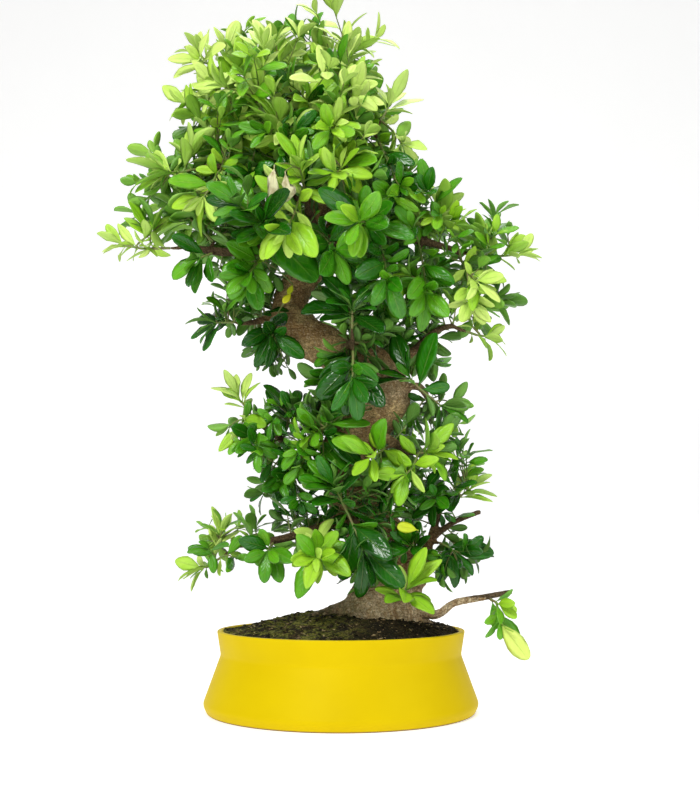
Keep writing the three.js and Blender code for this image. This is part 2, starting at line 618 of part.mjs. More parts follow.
// The two halves of a crooked four-sided face, folded so that it stands out.
function folded(a, b, c, d) {
  const outward = b.clone().sub(a).cross(c.clone().sub(a));
  return outward.dot(d.clone().sub(a)) > 0 ? [[a, b, d], [b, c, d]] : [[a, b, c], [a, c, d]];
}

// The faces of a blade, grown out of the four corners of its seat, which are in turn round its edge
// as seen from outside. The corners are matched to the blade's so that it twists the least.
function bladeFaces(leaf, seat) {
  const { upper, ahead, left, bend } = leaf;
  const lift = upper.clone().multiplyScalar(Math.cos(bend / 2)).addScaledVector(ahead, Math.sin(bend / 2));
  lift.multiplyScalar(BLADE_THICKNESS / 2);
  const round = [[-1, -1], [1, -1], [1, 1], [-1, 1]];
  const middle = seat.reduce((sum, corner) => sum.add(corner), new THREE.Vector3()).divideScalar(4);
  const fits = seat.map((_, shift) => round.reduce((sum, [a, b], k) => {
    const toCorner = seat[(k + shift) % 4].clone().sub(middle);
    return sum + a * toCorner.dot(left) + b * toCorner.dot(upper);
  }, 0));
  const best = fits.indexOf(Math.max(...fits));
  const faces = [];
  let ring = seat.map((_, k) => seat[(k + best) % 4]);
  for (const [u, v] of BLADE_SECTIONS) {
    const next = round.map(([a, b]) => pointOfBlade(leaf, u, a * v).addScaledVector(lift, b));
    next.forEach((corner, k) => {
      const after = (k + 1) % 4;
      faces.push(...folded(ring[k], ring[after], next[after], corner));
    });
    ring = next;
  }
  const below = pointOfBlade(leaf, 1, 0).sub(lift);
  const above = pointOfBlade(leaf, 1, 0).add(lift);
  faces.push([ring[0], ring[1], below], [ring[1], ring[2], above], [ring[1], above, below]);
  faces.push([ring[2], ring[3], above], [ring[3], ring[0], below], [ring[3], below, above]);
  return faces;
}

// Whether an edge of one face passes through another face.
function pierces(edges, face) {
  return edges.some((start, k) => {
    const end = edges[(k + 1) % 3];
    sight.set(start, end.clone().sub(start).normalize());
    const hit = sight.intersectTriangle(...face, false, new THREE.Vector3());
    return hit !== null && hit.distanceTo(start) < start.distanceTo(end);
  });
}

// Whether any face of one list crosses one of another. Faces that share a corner don't count.
function crosses(some, others) {
  const box = new THREE.Box3().setFromPoints(some.flat());
  const near = others.filter((face) => box.intersectsBox(new THREE.Box3().setFromPoints(face)));
  return some.some((one) => near.some((other) => !other.some((corner) => one.includes(corner))
    && (pierces(one, other) || pierces(other, one))));
}

function ballsOfLeaf(leaf, owner) {
  const balls = [];
  const steps = Math.ceil(leaf.length / 4);
  const radius = 0.5 * Math.hypot(leaf.length / steps, 0.7 * leaf.halfWidth) + 0.6;
  for (let k = 1; k <= steps; k++) {
    const u = (k - 0.5) / steps;
    const wide = Math.min(1, 0.25 + 1.6 * u, 4.2 * (1.05 - u));
    for (const v of [-0.7, 0, 0.7]) balls.push(ballAt(pointOfBlade(leaf, u, v * wide), radius, owner));
  }
  return balls;
}

function clearOfPot(balls) {
  return balls.every((ball) => {
    if (Math.hypot(ball.x, ball.y) > WIDEST_RADIUS + ball.radius + 2) return ball.z > ball.radius + 4;
    return ball.z - ball.radius > Math.max(RIM_HEIGHT, soilHeight(ball.x, ball.y)) + 1;
  });
}

// Gives every stem its leaves, from the tips inwards. A leaf with no room swings to a side, then
// gets shorter, and in the end is left out.
function growLeaves(allStems, room) {
  for (let depth = 0; depth < 5; depth++) {
    for (let face = 0; face < STEM_SIDES; face++) {
      allStems.forEach((stems, number) => stems.forEach((stem) => {
        const m = stem.nodes.length - 1 - depth;
        if (m < 0 || face >= stem.nodes[m].count) return;
        const grown = stems.flatMap(leafyFaces);
        for (let attempt = 0; attempt < LEAF_TRIES; attempt++) {
          const leaf = leafOn(stem, SPRAYS[number], m, face, attempt);
          const balls = ballsOfLeaf(leaf, number);
          if (!clearOfPot(balls) || !room.isFree(balls.slice(3)) || crosses(leaf.faces, grown)) continue;
          room.take(balls);
          stem.leaves.push(leaf);
          return;
        }
      }));
    }
  }
}

function twigBody(stem) {
  const end = pointOn(stem, stem.twigEnd);
  const start = end.clone().addScaledVector(headingOn(stem, stem.twigEnd), -TWIG_LENGTH);
  const near = stem.from.clone().lerp(start, 0.3);
  return tube([[...near.toArray(), TWIG_RADII[0]], [...end.toArray(), TWIG_RADII[1]]], STEM_SIDES);
}

// The whole plant

const wasm = await Module();
wasm.setup();
const sight = new THREE.Ray();

const room = new Room();
room.take(ballsOfRows(TRUNK, 8, 3));
LIMBS.forEach(({ name }) => room.take(ballsOfRows(limbRows(name), 4, 1)));
const allStems = SPRAYS.map((spray, number) => stemsOf(spray, number, room));
growLeaves(allStems, room);

const trunkAndRoots = joined([trunkBody(), ...ROOTS.map((rows) => tube(rows, ROOT_SIDES))]);
const limbs = LIMBS.map(({ name }) => tube(limbRows(name), LIMB_SIDES));
const twigs = allStems.map((stems) => twigBody(stems[0]));
const thorns = THORNS.map(thornBody);
const wood = joined([trunkAndRoots, ...limbs, ...twigs, ...thorns])
  .subtract(soilBody(TOUCHING_GAP))
  .add(rootBall(0));
const soil = soilBody(0).subtract(rootBall(TOUCHING_GAP));

const MATERIALS = {
  glaze: { color: 0xe9c90a, roughness: 0.45, metalness: 0 },
  soil: { color: 0x2b2118, roughness: 1, metalness: 0 },
  bark: { color: 0x7c6146, roughness: 0.9, metalness: 0 },
  young: { color: 0x86b83a, roughness: 0.5, metalness: 0 },
  mature: { color: 0x2c7a24, roughness: 0.35, metalness: 0 },
};

const bonsai = new THREE.Group();

function addPart(name, geometry, material) {
  const mesh = new THREE.Mesh(geometry, new THREE.MeshStandardMaterial(MATERIALS[material]));
  mesh.name = name;
  bonsai.add(mesh);
}

addPart("pot", potGeometry(), "glaze");
addPart("soil", geometryFromSolid(soil), "soil");
addPart("trunk", geometryFromSolid(wood), "bark");
SPRAYS.forEach((spray, number) => {
  const body = joined(allStems[number].map((stem) => solidFromFaces(leafyFaces(stem))));
  const place = String(number + 1).padStart(2, "0");
  addPart(`spray_${place}_${spray.limb}`, geometryFromSolid(body), spray.age);
});

export default bonsai;
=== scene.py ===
# A firethorn bonsai in its yellow pot, dressed around its CAD frame. Metres, +Z up, and -Y faces the viewer.
import json
import math
import random
from functools import partialmethod
from itertools import product

import bmesh
import bpy
import numpy as np
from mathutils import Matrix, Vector, noise
from mathutils.kdtree import KDTree


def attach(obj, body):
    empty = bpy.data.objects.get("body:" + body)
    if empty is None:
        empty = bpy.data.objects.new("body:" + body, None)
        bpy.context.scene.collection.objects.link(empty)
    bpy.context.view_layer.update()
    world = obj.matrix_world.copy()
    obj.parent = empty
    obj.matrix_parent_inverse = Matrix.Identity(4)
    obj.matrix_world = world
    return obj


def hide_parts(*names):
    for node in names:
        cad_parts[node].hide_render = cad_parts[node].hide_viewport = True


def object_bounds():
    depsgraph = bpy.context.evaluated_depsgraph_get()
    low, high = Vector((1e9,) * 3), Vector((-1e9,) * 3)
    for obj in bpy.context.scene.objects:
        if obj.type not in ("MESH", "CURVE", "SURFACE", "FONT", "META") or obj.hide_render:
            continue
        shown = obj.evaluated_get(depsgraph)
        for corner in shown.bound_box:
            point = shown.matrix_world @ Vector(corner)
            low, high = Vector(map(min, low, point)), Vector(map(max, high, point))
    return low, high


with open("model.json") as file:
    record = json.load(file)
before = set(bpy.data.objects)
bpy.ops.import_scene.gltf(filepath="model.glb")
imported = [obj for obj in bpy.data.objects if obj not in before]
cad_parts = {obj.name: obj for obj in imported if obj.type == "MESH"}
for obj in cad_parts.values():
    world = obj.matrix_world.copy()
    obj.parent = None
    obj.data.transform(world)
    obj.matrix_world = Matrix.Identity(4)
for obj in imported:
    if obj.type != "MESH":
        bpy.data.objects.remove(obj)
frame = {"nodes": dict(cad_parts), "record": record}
cad_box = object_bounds()

# The pot: one round of thrown clay with a pinched waist under its rim, glazed a satin yellow all over,
# with a thin brown, rougher band round the bottom of its foot, where it stands on the table.
MM = 0.001
POT_SEGMENTS = 144
POT_RIM_RADIUS = 110 * MM
POT_RIM_HEIGHT = 70.5 * MM
POT_WAIST_RADIUS = 106.5 * MM
POT_WAIST_HEIGHT = 49.5 * MM
POT_WIDEST_RADIUS = 121.6 * MM
POT_WIDEST_HEIGHT = 7.5 * MM
POT_FOOT_RADIUS = 118 * MM
POT_WALL = 5.2 * MM
POT_FLOOR = 6 * MM
GLAZE_YELLOW = (0.68, 0.50, 0.0, 1)
GLAZE_DEEP = (0.63, 0.455, 0.0, 1)
# The colour of a painted highlight along the rim's lip.
GLAZE_LIP_HIGHLIGHT = (0.74, 0.56, 0.01, 1)
FOOT_BROWN = (0.23, 0.12, 0.05, 1)


class Wire:
    """A number on its way through a node tree. Sums with it add Math nodes to the tree."""

    def __init__(self, tree, socket):
        self.tree = tree
        self.socket = socket

    def math(self, operation, *others):
        """A Math node whose first number is this one."""
        return self.tree.add("ShaderNodeMath", {"operation": operation}, dict(enumerate((self, *others))))

    __add__ = __radd__ = partialmethod(math, "ADD")
    __sub__ = partialmethod(math, "SUBTRACT")
    __mul__ = __rmul__ = partialmethod(math, "MULTIPLY")
    __truediv__ = partialmethod(math, "DIVIDE")
    __pow__ = partialmethod(math, "POWER")
    __abs__ = partialmethod(math, "ABSOLUTE")

    def __rsub__(self, other):
        return self.tree.add("ShaderNodeMath", {"operation": "SUBTRACT"}, {0: other, 1: self})

    def between(self, low, high):
        """0 at low, 1 at high, and even steps from one to the other."""
        return self.tree.add("ShaderNodeMapRange", {}, {"Value": self, "From Min": low, "From Max": high})


class Tree:
    """A node tree, of a material or of geometry, to which nodes are added by one method."""

    def __init__(self, nodes):
        self.nodes = nodes

    def add(self, kind, settings=None, sockets=None, out=0, **more_sockets):
        """Adds a node, sets it up, feeds its sockets with values or wires, and gives one of its outputs."""
        node = self.nodes.nodes.new(kind)
        for name, value in (settings or {}).items():
            setattr(node, name, value)
        for name, value in {**(sockets or {}), **more_sockets}.items():
            if isinstance(value, Wire):
                self.nodes.links.new(value.socket, node.inputs[name])
            else:
                node.inputs[name].default_value = value
        return Wire(self, node.outputs[out])

    def join(self, *shapes):
        """One geometry out of several."""
        node = self.nodes.nodes.new("GeometryNodeJoinGeometry")
        for shape in reversed(shapes):
            self.nodes.links.new(shape.socket, node.inputs["Geometry"])
        return Wire(self, node.outputs["Geometry"])

    def ramp(self, share, stops):
        """A colour looked up in a row of colours."""
        found = self.add("ShaderNodeValToRGB", Fac=share, out="Color")
        elements = found.socket.node.color_ramp.elements
        while len(elements) < len(stops):
            elements.new(0.5)
        for element, (place, colour) in zip(elements, stops):
            element.position = place
            element.color = colour
        return found

    def mixed(self, share, first, second):
        """A colour between two colours."""
        return self.add("ShaderNodeMix", {"data_type": "RGBA"}, {0: share, 6: first, 7: second}, out=2)

    def layered(self, colour, *layers):
        """A colour with others laid over it in turn, each by its share."""
        for share, over in layers:
            colour = self.mixed(share, colour, over)
        return colour

    def noise(self, where, scale, detail=3, roughness=0.55):
        return self.add("ShaderNodeTexNoise", Vector=where, Scale=scale, Detail=detail, Roughness=roughness)

    def stretched(self, where, scale):
        """Coordinates made finer or coarser along each axis."""
        return self.add("ShaderNodeMapping", Vector=where, Scale=scale)

    def axis(self, vector, letter):
        """One of the three numbers of a vector."""
        return self.add("ShaderNodeSeparateXYZ", Vector=vector, out=letter)

    def scaled(self, vector, by):
        return self.add("ShaderNodeVectorMath", {"operation": "SCALE"}, {0: vector, "Scale": by})

    def summed(self, total, *vectors):
        for vector in vectors:
            total = self.add("ShaderNodeVectorMath", {"operation": "ADD"}, {0: total, 1: vector})
        return total

    def bump(self, height, distance, strength=1.0):
        return self.add("ShaderNodeBump", Height=height, Distance=distance, Strength=strength)


def new_finish(name, paint, **constants):
    """A material whose shader gets its constants here and its wires from the paint function."""
    material = bpy.data.materials.new(name)
    material.use_nodes = True
    tree = Tree(material.node_tree)
    shader = material.node_tree.nodes["Principled BSDF"]
    for socket, value in constants.items():
        shader.inputs[socket.replace("_", " ")].default_value = value
    where = tree.add("ShaderNodeTexCoord", out="Object")
    for socket, wire in paint(tree, where).items():
        material.node_tree.links.new(wire.socket, shader.inputs[socket])
    return material


def new_object(name, data):
    thing = bpy.data.objects.new(name, data)
    bpy.context.scene.collection.objects.link(thing)
    return thing


def new_piece(name, points, faces, finish):
    """A smooth-shaded object at the origin, made of points in metres."""
    mesh = bpy.data.meshes.new(name)
    mesh.from_pydata([tuple(p) for p in points], [], [tuple(f) for f in faces])
    mesh.materials.append(finish)
    mesh.shade_smooth()
    return new_object(name, mesh)


def seat_on_frame(piece, slot, *replaced):
    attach(piece, "root")
    if replaced:
        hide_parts(*replaced)


def rounded(corners, steps=5):
    """A profile of radius and height, whose corners are cut by a curve as long as their third number."""
    line = []
    for i, (r, z, cut) in enumerate(corners):
        corner = np.array([r, z])
        if cut == 0:
            line.append(corner)
            continue
        before = np.array(corners[i - 1][:2]) - corner
        after = np.array(corners[i + 1][:2]) - corner
        start = corner + before * cut / np.linalg.norm(before)
        end = corner + after * cut / np.linalg.norm(after)
        for k in range(steps + 1):
            t = k / steps
            line.append((1 - t) ** 2 * start + 2 * t * (1 - t) * corner + t * t * end)
    return line


def turned(profile, segments):
    """A closed body turned round the Z axis from a profile that starts and ends on it."""
    inner = profile[1:-1]
    points = [(0, 0, profile[0][1]), (0, 0, profile[-1][1])]
    for r, z in inner:
        for k in range(segments):
            angle = 2 * math.pi * k / segments
            points.append((r * math.cos(angle), r * math.sin(angle), z))
    faces = []
    last = 2 + (len(inner) - 1) * segments
    for k in range(segments):
        after = (k + 1) % segments
        faces.append((0, 2 + after, 2 + k))
        faces.append((1, last + k, last + after))
        for i in range(len(inner) - 1):
            low = 2 + i * segments
            faces.append((low + k, low + after, low + segments + after, low + segments + k))
    return points, faces


def paint_glaze(tree, where):
    height = tree.axis(where, "Z")
    # A thin band just under the top edge of the rim is painted lighter: a painted highlight along the lip.
    rim_highlight = height.between(POT_RIM_HEIGHT - 1.6 * MM, POT_RIM_HEIGHT - 0.3 * MM)
    foot = height.between(1.6 * MM, 0.5 * MM)
    cloud = tree.noise(where, 14).between(0.35, 0.75)
    colour = tree.layered(GLAZE_YELLOW, (cloud, GLAZE_DEEP), (0.3 * rim_highlight, GLAZE_LIP_HIGHLIGHT), (foot, FOOT_BROWN))
    roughness = 0.46 + 0.12 * tree.noise(where, 60, 2) + 0.3 * foot
    surface = tree.noise(where, 38, 2) + 0.06 * tree.noise(where, 900, 2)
    return {"Base Color": colour, "Roughness": roughness, "Normal": tree.bump(surface, 0.3 * MM, 0.5)}


glaze = new_finish("yellow_glaze", paint_glaze, Specular_IOR_Level=0.06)
pot_profile = rounded([
    (0, 0, 0), (POT_FOOT_RADIUS, 0, 1.6 * MM), (POT_WIDEST_RADIUS, POT_WIDEST_HEIGHT, 3 * MM),
    (POT_WAIST_RADIUS, POT_WAIST_HEIGHT, 2.2 * MM), (POT_RIM_RADIUS, POT_RIM_HEIGHT, 1.4 * MM),
    (POT_RIM_RADIUS - POT_WALL, POT_RIM_HEIGHT, 1.8 * MM),
    (POT_WAIST_RADIUS - POT_WALL, POT_WAIST_HEIGHT, 4 * MM),
    (POT_FOOT_RADIUS - POT_WALL, POT_FLOOR, 3 * MM), (0, POT_FLOOR, 0),
])
pot = new_piece("pot_glazed", *turned(pot_profile, POT_SEGMENTS), glaze)
seat_on_frame(pot, "pot_glaze", "pot")

# The soil: dark crumbly potting soil, filled in round the root ball and heaped to a low mound.
# Its top is rough, with crumbs of peat and bark lying loose on it.
SOIL_EDGE_HEIGHT = 67.5 * MM
MOUND_HEIGHT = 20 * MM
MOUND_CENTRE_X = 10 * MM
MOUND_RADIUS = 106 * MM
SOIL_RINGS = 90
SOIL_SEGMENTS = 220
SOIL_GAP = 0.3 * MM
SOIL_AREA = 0.034
PEAT = (0.010, 0.008, 0.003, 1)
PEAT_BROWN = (0.090, 0.062, 0.024, 1)
MOSS_DARK = (0.030, 0.042, 0.006, 1)
MOSS_BRIGHT = (0.23, 0.22, 0.040, 1)
STRAW = (0.38, 0.29, 0.13, 1)
STRAW_BROWN = (0.16, 0.09, 0.04, 1)


def held(number):
    """A number held between 0 and 1."""
    return min(1, max(0, number))


def soil_height(x, y):
    """The height of the mound under its crumbs."""
    away = math.hypot(x - MOUND_CENTRE_X, y) / MOUND_RADIUS
    mound = MOUND_HEIGHT * max(0, 1 - away * away) ** 1.2 + 2.4 * MM * held(-x / (70 * MM))
    return SOIL_EDGE_HEIGHT + mound + 1.1 * MM * math.sin(x / (9 * MM)) * math.cos(y / (11 * MM))


def soil_body():
    edge = POT_RIM_RADIUS - POT_WALL - 2 * SOIL_GAP
    rings = [(edge * (1 - k / SOIL_RINGS), SOIL_EDGE_HEIGHT) for k in range(SOIL_RINGS)]
    profile = [
        (0, POT_FLOOR + SOIL_GAP), (POT_FOOT_RADIUS - POT_WALL - SOIL_GAP, POT_FLOOR + SOIL_GAP),
        (POT_WAIST_RADIUS - POT_WALL - SOIL_GAP, POT_WAIST_HEIGHT), *rings, (0, SOIL_EDGE_HEIGHT),
    ]
    points, faces = turned(profile, SOIL_SEGMENTS)
    heaped = []
    for x, y, z in points:
        if z > SOIL_EDGE_HEIGHT - 0.01 * MM:
            place = Vector((x, y, 0))
            lumps = noise.fractal(place * 120, 0.8, 2.2, 4)
            calm = min(1, (edge - math.hypot(x, y)) / (3 * MM))
            z = soil_height(x, y) + calm * (1.3 * MM * lumps - 0.6 * MM)
        heaped.append((x, y, z))
    return heaped, faces


def moss_share(tree, where):
    """How mossy the ground is at a point: in patches, and mostly on the side where the long root lies."""
    patches = (0.5 * tree.noise(where, 48, 3, 0.6) + 0.5 * tree.noise(where, 190, 3, 0.6)).between(0.47, 0.56)
    return patches * tree.axis(where, "X").between(30 * MM, -20 * MM)


def paint_soil(tree, where):
    grain = tree.noise(where, 420, 5, 0.7)
    clods = (0.7 * grain + 0.3 * tree.noise(where, 60)).between(0.48, 0.70)
    moss = tree.mixed(grain.between(0.40, 0.62), MOSS_DARK, MOSS_BRIGHT)
    fleck = tree.noise(where, 700, 2, 0.5).between(0.66, 0.72)
    colour = tree.layered(PEAT, (clods, PEAT_BROWN), (0.9 * moss_share(tree, where), moss), (0.7 * fleck, STRAW))
    return {"Base Color": colour, "Normal": tree.bump(grain, 1.6 * MM)}


def paint_straw(tree, where):
    return {"Base Color": tree.mixed(tree.noise(where, 300).between(0.35, 0.65), STRAW, STRAW_BROWN)}


def grow_piece(name, source, sizes, build, finish, keep=()):
    """Runs a geometry tree over a source mesh, and gives the outcome as a plain piece. The sizes are
    the tree's named inputs, and build adds its nodes between the geometry that comes in and goes out."""
    group = bpy.data.node_groups.new(name, "GeometryNodeTree")
    group.interface.new_socket("Geometry", in_out="INPUT", socket_type="NodeSocketGeometry")
    group.interface.new_socket("Geometry", in_out="OUTPUT", socket_type="NodeSocketGeometry")
    kinds = {int: "NodeSocketInt", float: "NodeSocketFloat", bpy.types.Object: "NodeSocketObject"}
    inputs = {}
    for label, value in sizes.items():
        inputs[label] = group.interface.new_socket(label, in_out="INPUT", socket_type=kinds[type(value)])
    tree = Tree(group)
    entry = group.nodes.new("NodeGroupInput")
    shape = build(tree, {label: Wire(tree, entry.outputs[label]) for label in ("Geometry", *sizes)})
    shape = tree.add("GeometryNodeRealizeInstances", Geometry=shape)
    if finish:
        shape = tree.add("GeometryNodeSetMaterial", Geometry=shape, Material=finish)
    group.links.new(shape.socket, group.nodes.new("NodeGroupOutput").inputs["Geometry"])
    holder = new_object(name + "_source", source)
    modifier = holder.modifiers.new(name, "NODES")
    modifier.node_group = group
    for label, value in sizes.items():
        modifier[inputs[label].identifier] = value
    ready = holder.evaluated_get(bpy.context.evaluated_depsgraph_get())
    mesh = bpy.data.meshes.new_from_object(ready)
    for attribute in [a.name for a in mesh.attributes if not a.is_internal and not a.is_required]:
        if attribute not in ("sharp_edge", "sharp_face", "material_index", *keep):
            mesh.attributes.remove(mesh.attributes[attribute])
    mesh.name = name
    bpy.data.objects.remove(holder)
    return new_object(name, mesh)


def scatter(tree, wires):
    """Bits strewn over the upward faces of a surface, turned and sized at random."""
    spot = tree.add("GeometryNodeInputPosition")
    chosen = tree.axis(tree.add("GeometryNodeInputNormal"), "Z").math("GREATER_THAN", 0.3)
    chosen = chosen * tree.axis(spot, "Z").math("GREATER_THAN", wires["Lowest"])
    chosen = chosen * tree.axis(spot, "X").math("LESS_THAN", wires["Furthest right"])
    points = tree.add("GeometryNodeDistributePointsOnFaces", Mesh=wires["Geometry"], Selection=chosen,
                      Density=wires["Density"], Seed=wires["Seed"])
    shape = tree.add("GeometryNodeObjectInfo", {"transform_space": "ORIGINAL"}, Object=wires["Bit"], out="Geometry")
    size = tree.add("FunctionNodeRandomValue", {"data_type": "FLOAT"}, {2: 0.0, 3: 1.0}, 1, Seed=wires["Seed"])
    size = wires["Smallest"] + (wires["Largest"] - wires["Smallest"]) * size ** 3
    turn = tree.add("FunctionNodeRandomValue", {"data_type": "FLOAT_VECTOR"}, {
        0: (-0.5, -0.5, 0), 1: (0.5, 0.5, 6.28), "Seed": wires["Seed"],
    })
    return tree.add("GeometryNodeInstanceOnPoints", Points=points, Instance=shape, Rotation=turn, Scale=size)


def new_bit(name, squash):
    """A lump of 20 faces of unit size, squashed along its axes."""
    builder = bmesh.new()
    bmesh.ops.create_icosphere(builder, subdivisions=1, radius=1)
    for vertex in builder.verts:
        vertex.co = Vector([c * s for c, s in zip(vertex.co, squash)])
    mesh = bpy.data.meshes.new(name)
    builder.to_mesh(mesh)
    builder.free()
    mesh.shade_smooth()
    return new_object(name, mesh)


soil_finish = new_finish("potting_soil", paint_soil, Roughness=0.95, Specular_IOR_Level=0.15)
straw_finish = new_finish("dry_straw", paint_straw, Roughness=0.8)
soil = new_piece("soil_mound", *soil_body(), soil_finish)
seat_on_frame(soil, "soil", "soil")
# Of each kind: how it is squashed, how many there are, how small and how large, and how far right they lie.
SCATTERED = {
    "soil_crumbs": ((1, 0.8, 0.6), 2600, 0.5, 2.4, 1.0, soil_finish),
    "bark_chips": ((1, 0.6, 0.22), 260, 1.2, 3.4, 1.0, straw_finish),
    "dry_stalks": ((1, 0.05, 0.05), 420, 2.0, 5.5, 0.02, straw_finish),
}
for name, (squash, count, smallest, largest, right, finish) in SCATTERED.items():
    bit = new_bit(name + "_bit", squash)
    bit_sizes = {
        "Lowest": SOIL_EDGE_HEIGHT - 2 * MM, "Density": count / SOIL_AREA, "Seed": len(name), "Bit": bit,
        "Smallest": smallest * MM, "Largest": largest * MM, "Furthest right": right,
    }
    strewn = grow_piece(name, soil.data, bit_sizes, scatter, finish)
    seat_on_frame(strewn, "soil")
    bpy.data.objects.remove(bit)

# The wood: an old trunk that winds up from a flared foot, with roots half sunk in the soil and limbs
# that leave it at its bends, all one piece under rough brown bark, pale and grey where it is oldest.
WOOD_VOXEL = 1.45 * MM
TRUNK = [
    [39, 0, 72, 32], [44, 2, 96, 27], [50, 4, 121, 23.4], [36, 2, 149, 23], [16, -2, 175, 22.6],
    [4, -8, 200, 21.6], [4, -14, 225, 21.5], [19, -18, 251, 20.6], [38, -18, 277, 20.7], [29, -14, 301, 20],
    [-4, -8, 319, 18.7], [-34, -2, 337, 18], [-47, 4, 363, 16.2], [-38, 8, 390, 14.5], [-22, 8, 413, 13],
    [-14, 6, 436, 11], [-19, 4, 461, 9.4], [-30, 2, 487, 7.5], [-39, 0, 513, 6], [-43, 0, 544, 4.7],
]
SWELLINGS = [
    (0.5, (-0.92, -0.38, 0), 13, 1.1), (0.2, (0.98, -0.2, 0), 4, 0.9), (0.2, (0.2, -0.98, 0), 7, 0.9),
    (4.2, (0.7, -0.7, 0), 4, 0.8), (8, (0.75, -0.66, 0), 4, 0.8), (11.4, (-0.8, -0.3, 0.5), 3, 0.8),
]
ROOTS = [
    [[30, -4, 92, 15], [2, -14, 84, 12], [-26, -20, 77, 8.5], [-52, -20, 70, 5]],
    [[48, -2, 90, 13], [70, -8, 77, 8], [86, -12, 64, 4]],
    [[40, -10, 92, 13], [42, -34, 79, 8], [38, -54, 67, 4]],
    [[38, 10, 92, 13], [28, 38, 82, 9], [16, 60, 70, 4]],
]
LIMBS = {
    "leader": ("trunk", 19, [[-50, 0, 570, 3.4], [-60, -5, 580, 2.6]]),
    "top_right": ("trunk", 18, [[-20, 10, 550, 3.8], [-5, 10, 575, 2.8]]),
    "top_back": ("trunk", 18, [[-35, 35, 555, 3.6], [-30, 55, 585, 2.8]]),
    "top_left": ("trunk", 17, [[-60, 5, 525, 4.2], [-90, 5, 555, 3.4], [-110, 5, 580, 2.6]]),
    "right_upper": ("trunk", 17, [[5, -10, 510, 4.2], [30, -20, 525, 3]]),
    "left_upper": ("trunk", 16, [[-60, -25, 470, 4.5], [-95, -40, 480, 3.6], [-120, -40, 485, 2.6]]),
    "left_back": ("trunk", 16, [[-55, 40, 485, 4.5], [-95, 70, 505, 3.2]]),
    "right_arm": ("trunk", 15, [[30, -20, 430, 5.2], [70, -25, 420, 4], [105, -25, 410, 2.8]]),
    "right_back": ("trunk", 15, [[25, 40, 440, 4.6], [60, 70, 445, 3.2]]),
    "crown_front": ("trunk", 14, [[-25, -35, 430, 4.5], [-30, -60, 440, 3.2]]),
    "left_arm": ("trunk", 14, [[-65, -25, 410, 5], [-105, -40, 405, 4], [-140, -40, 410, 2.8]]),
    "hanging_left": ("trunk", 12, [[-70, -10, 350, 3.6], [-85, -15, 345, 2.6]]),
    "bend_front": ("trunk", 10, [[5, -40, 320, 4], [10, -60, 320, 3]]),
    "right_lower": ("trunk", 9, [[60, -20, 315, 4], [85, -30, 335, 3.2], [100, -30, 340, 2.6]]),
    "knob": ("trunk", 8, [[66, -34, 285, 3.6], [76, -36, 275, 2.6]]),
    "mid_right": ("trunk", 7, [[45, -40, 235, 4], [60, -45, 225, 2.8]]),
    "mid_back": ("trunk", 6, [[10, 30, 240, 4.2], [20, 60, 260, 3]]),
    "mid_left": ("trunk", 5, [[-35, -10, 220, 4.2], [-55, -10, 240, 3.4], [-75, -5, 255, 2.6]]),
    "low_left": ("trunk", 4, [[-20, -20, 160, 4.4], [-55, -35, 150, 3.4], [-90, -40, 145, 2.6]]),
    "low_back": ("trunk", 4, [[30, 35, 185, 3.6], [40, 60, 195, 2.8]]),
    "low_front": ("trunk", 4, [[10, -50, 165, 3.4]]),
    "low_right": ("trunk", 1, [[70, 0, 110, 5.2], [75, 0, 130, 4.6], [80, -5, 150, 4], [90, -5, 180, 2.8]]),
    "cut_stub": ("low_right", 3, [[100, -10, 165, 2.8], [125, -10, 175, 2.4]]),
    "base_right": ("trunk", 1, [[80, -20, 85, 4.2], [100, -20, 95, 3.4], [125, -25, 100, 3],
                                [150, -25, 105, 2.4]]),
    "base_front": ("trunk", 1, [[50, -48, 100, 3]]),
}
TWIG_RADII = (2.0, 1.5)
# By these measures the stems and leaves are found in the CAD sprays. A stem's rings are triangles. A leaf is
# cut across at 0.34 and 0.74 of its length: CUT_MIDDLE lies halfway between, HALF_CUT_SPAN is half their
# distance, and CHORD_TURN is the distance between the middles of the two parts that end at 0.74 and at 1.
RING_SIDE = 1.3 * math.sqrt(3)
BLADE_THICKNESS = 0.72
FIRST_CUT = 0.34
CUT_MIDDLE = 0.54
HALF_CUT_SPAN = 0.2
CHORD_TURN = 0.33
WIDE_SHARE = 0.96
KNOT_REACH = 1.65
# The surface roots lie below this height and within this distance of this place on the X axis.
ROOTS_BELOW = 100 * MM
ROOTS_WITHIN = 90 * MM
ROOTS_X = 40 * MM
BARK_BROWN = (0.40, 0.235, 0.090, 1)
BARK_TAN = (0.76, 0.53, 0.23, 1)
BARK_DARK = (0.055, 0.027, 0.011, 1)
BARK_RED = (0.24, 0.095, 0.034, 1)
BARK_GREY = (0.80, 0.63, 0.40, 1)
BARK_PALE = (0.98, 0.86, 0.58, 1)
TWIG_DARK = (0.030, 0.020, 0.010, 1)
TWIG_BROWN = (0.15, 0.095, 0.045, 1)


def along(rows, station):
    """The values on a smooth line through a list of rows, at a station counted in rows."""
    last = len(rows) - 1
    i = min(int(station), last - 1)
    t = station - i
    a, b, c, d = (np.array(rows[k], float) for k in (max(i - 1, 0), i, i + 1, min(i + 2, last)))
    cubic = 3 * (b - c) + d - a
    square = 2 * a - 5 * b + 4 * c - d
    return b + 0.5 * t * (c - a + t * (square + t * cubic))


def limb_rows(name):
    """The bends of a limb, with the point inside the wood that it grows from first."""
    parent, station, rows = LIMBS[name]
    start = along(TRUNK, station) if parent == "trunk" else np.array(limb_rows(parent)[station], float)
    return [[*start[:3], min(start[3], 1.25 * rows[0][3])], *rows]


def swelled(radius, station, outward):
    """The trunk's radius towards one side: a little oval, fluted, and swollen at its bends and foot."""
    twist = math.atan2(outward[1], outward[0]) + 0.5 * station
    reach = radius * (1 + 0.05 * math.sin(2 * twist) + 0.04 * math.sin(3 * twist + 1.3 * station))
    for at, toward, out, span in SWELLINGS:
        facing = max(0, float(np.dot(outward, toward)))
        reach += out * facing * facing * math.exp(-(((station - at) / span) ** 2))
    return reach


def unit(vector):
    return vector / (np.linalg.norm(vector) or 1)


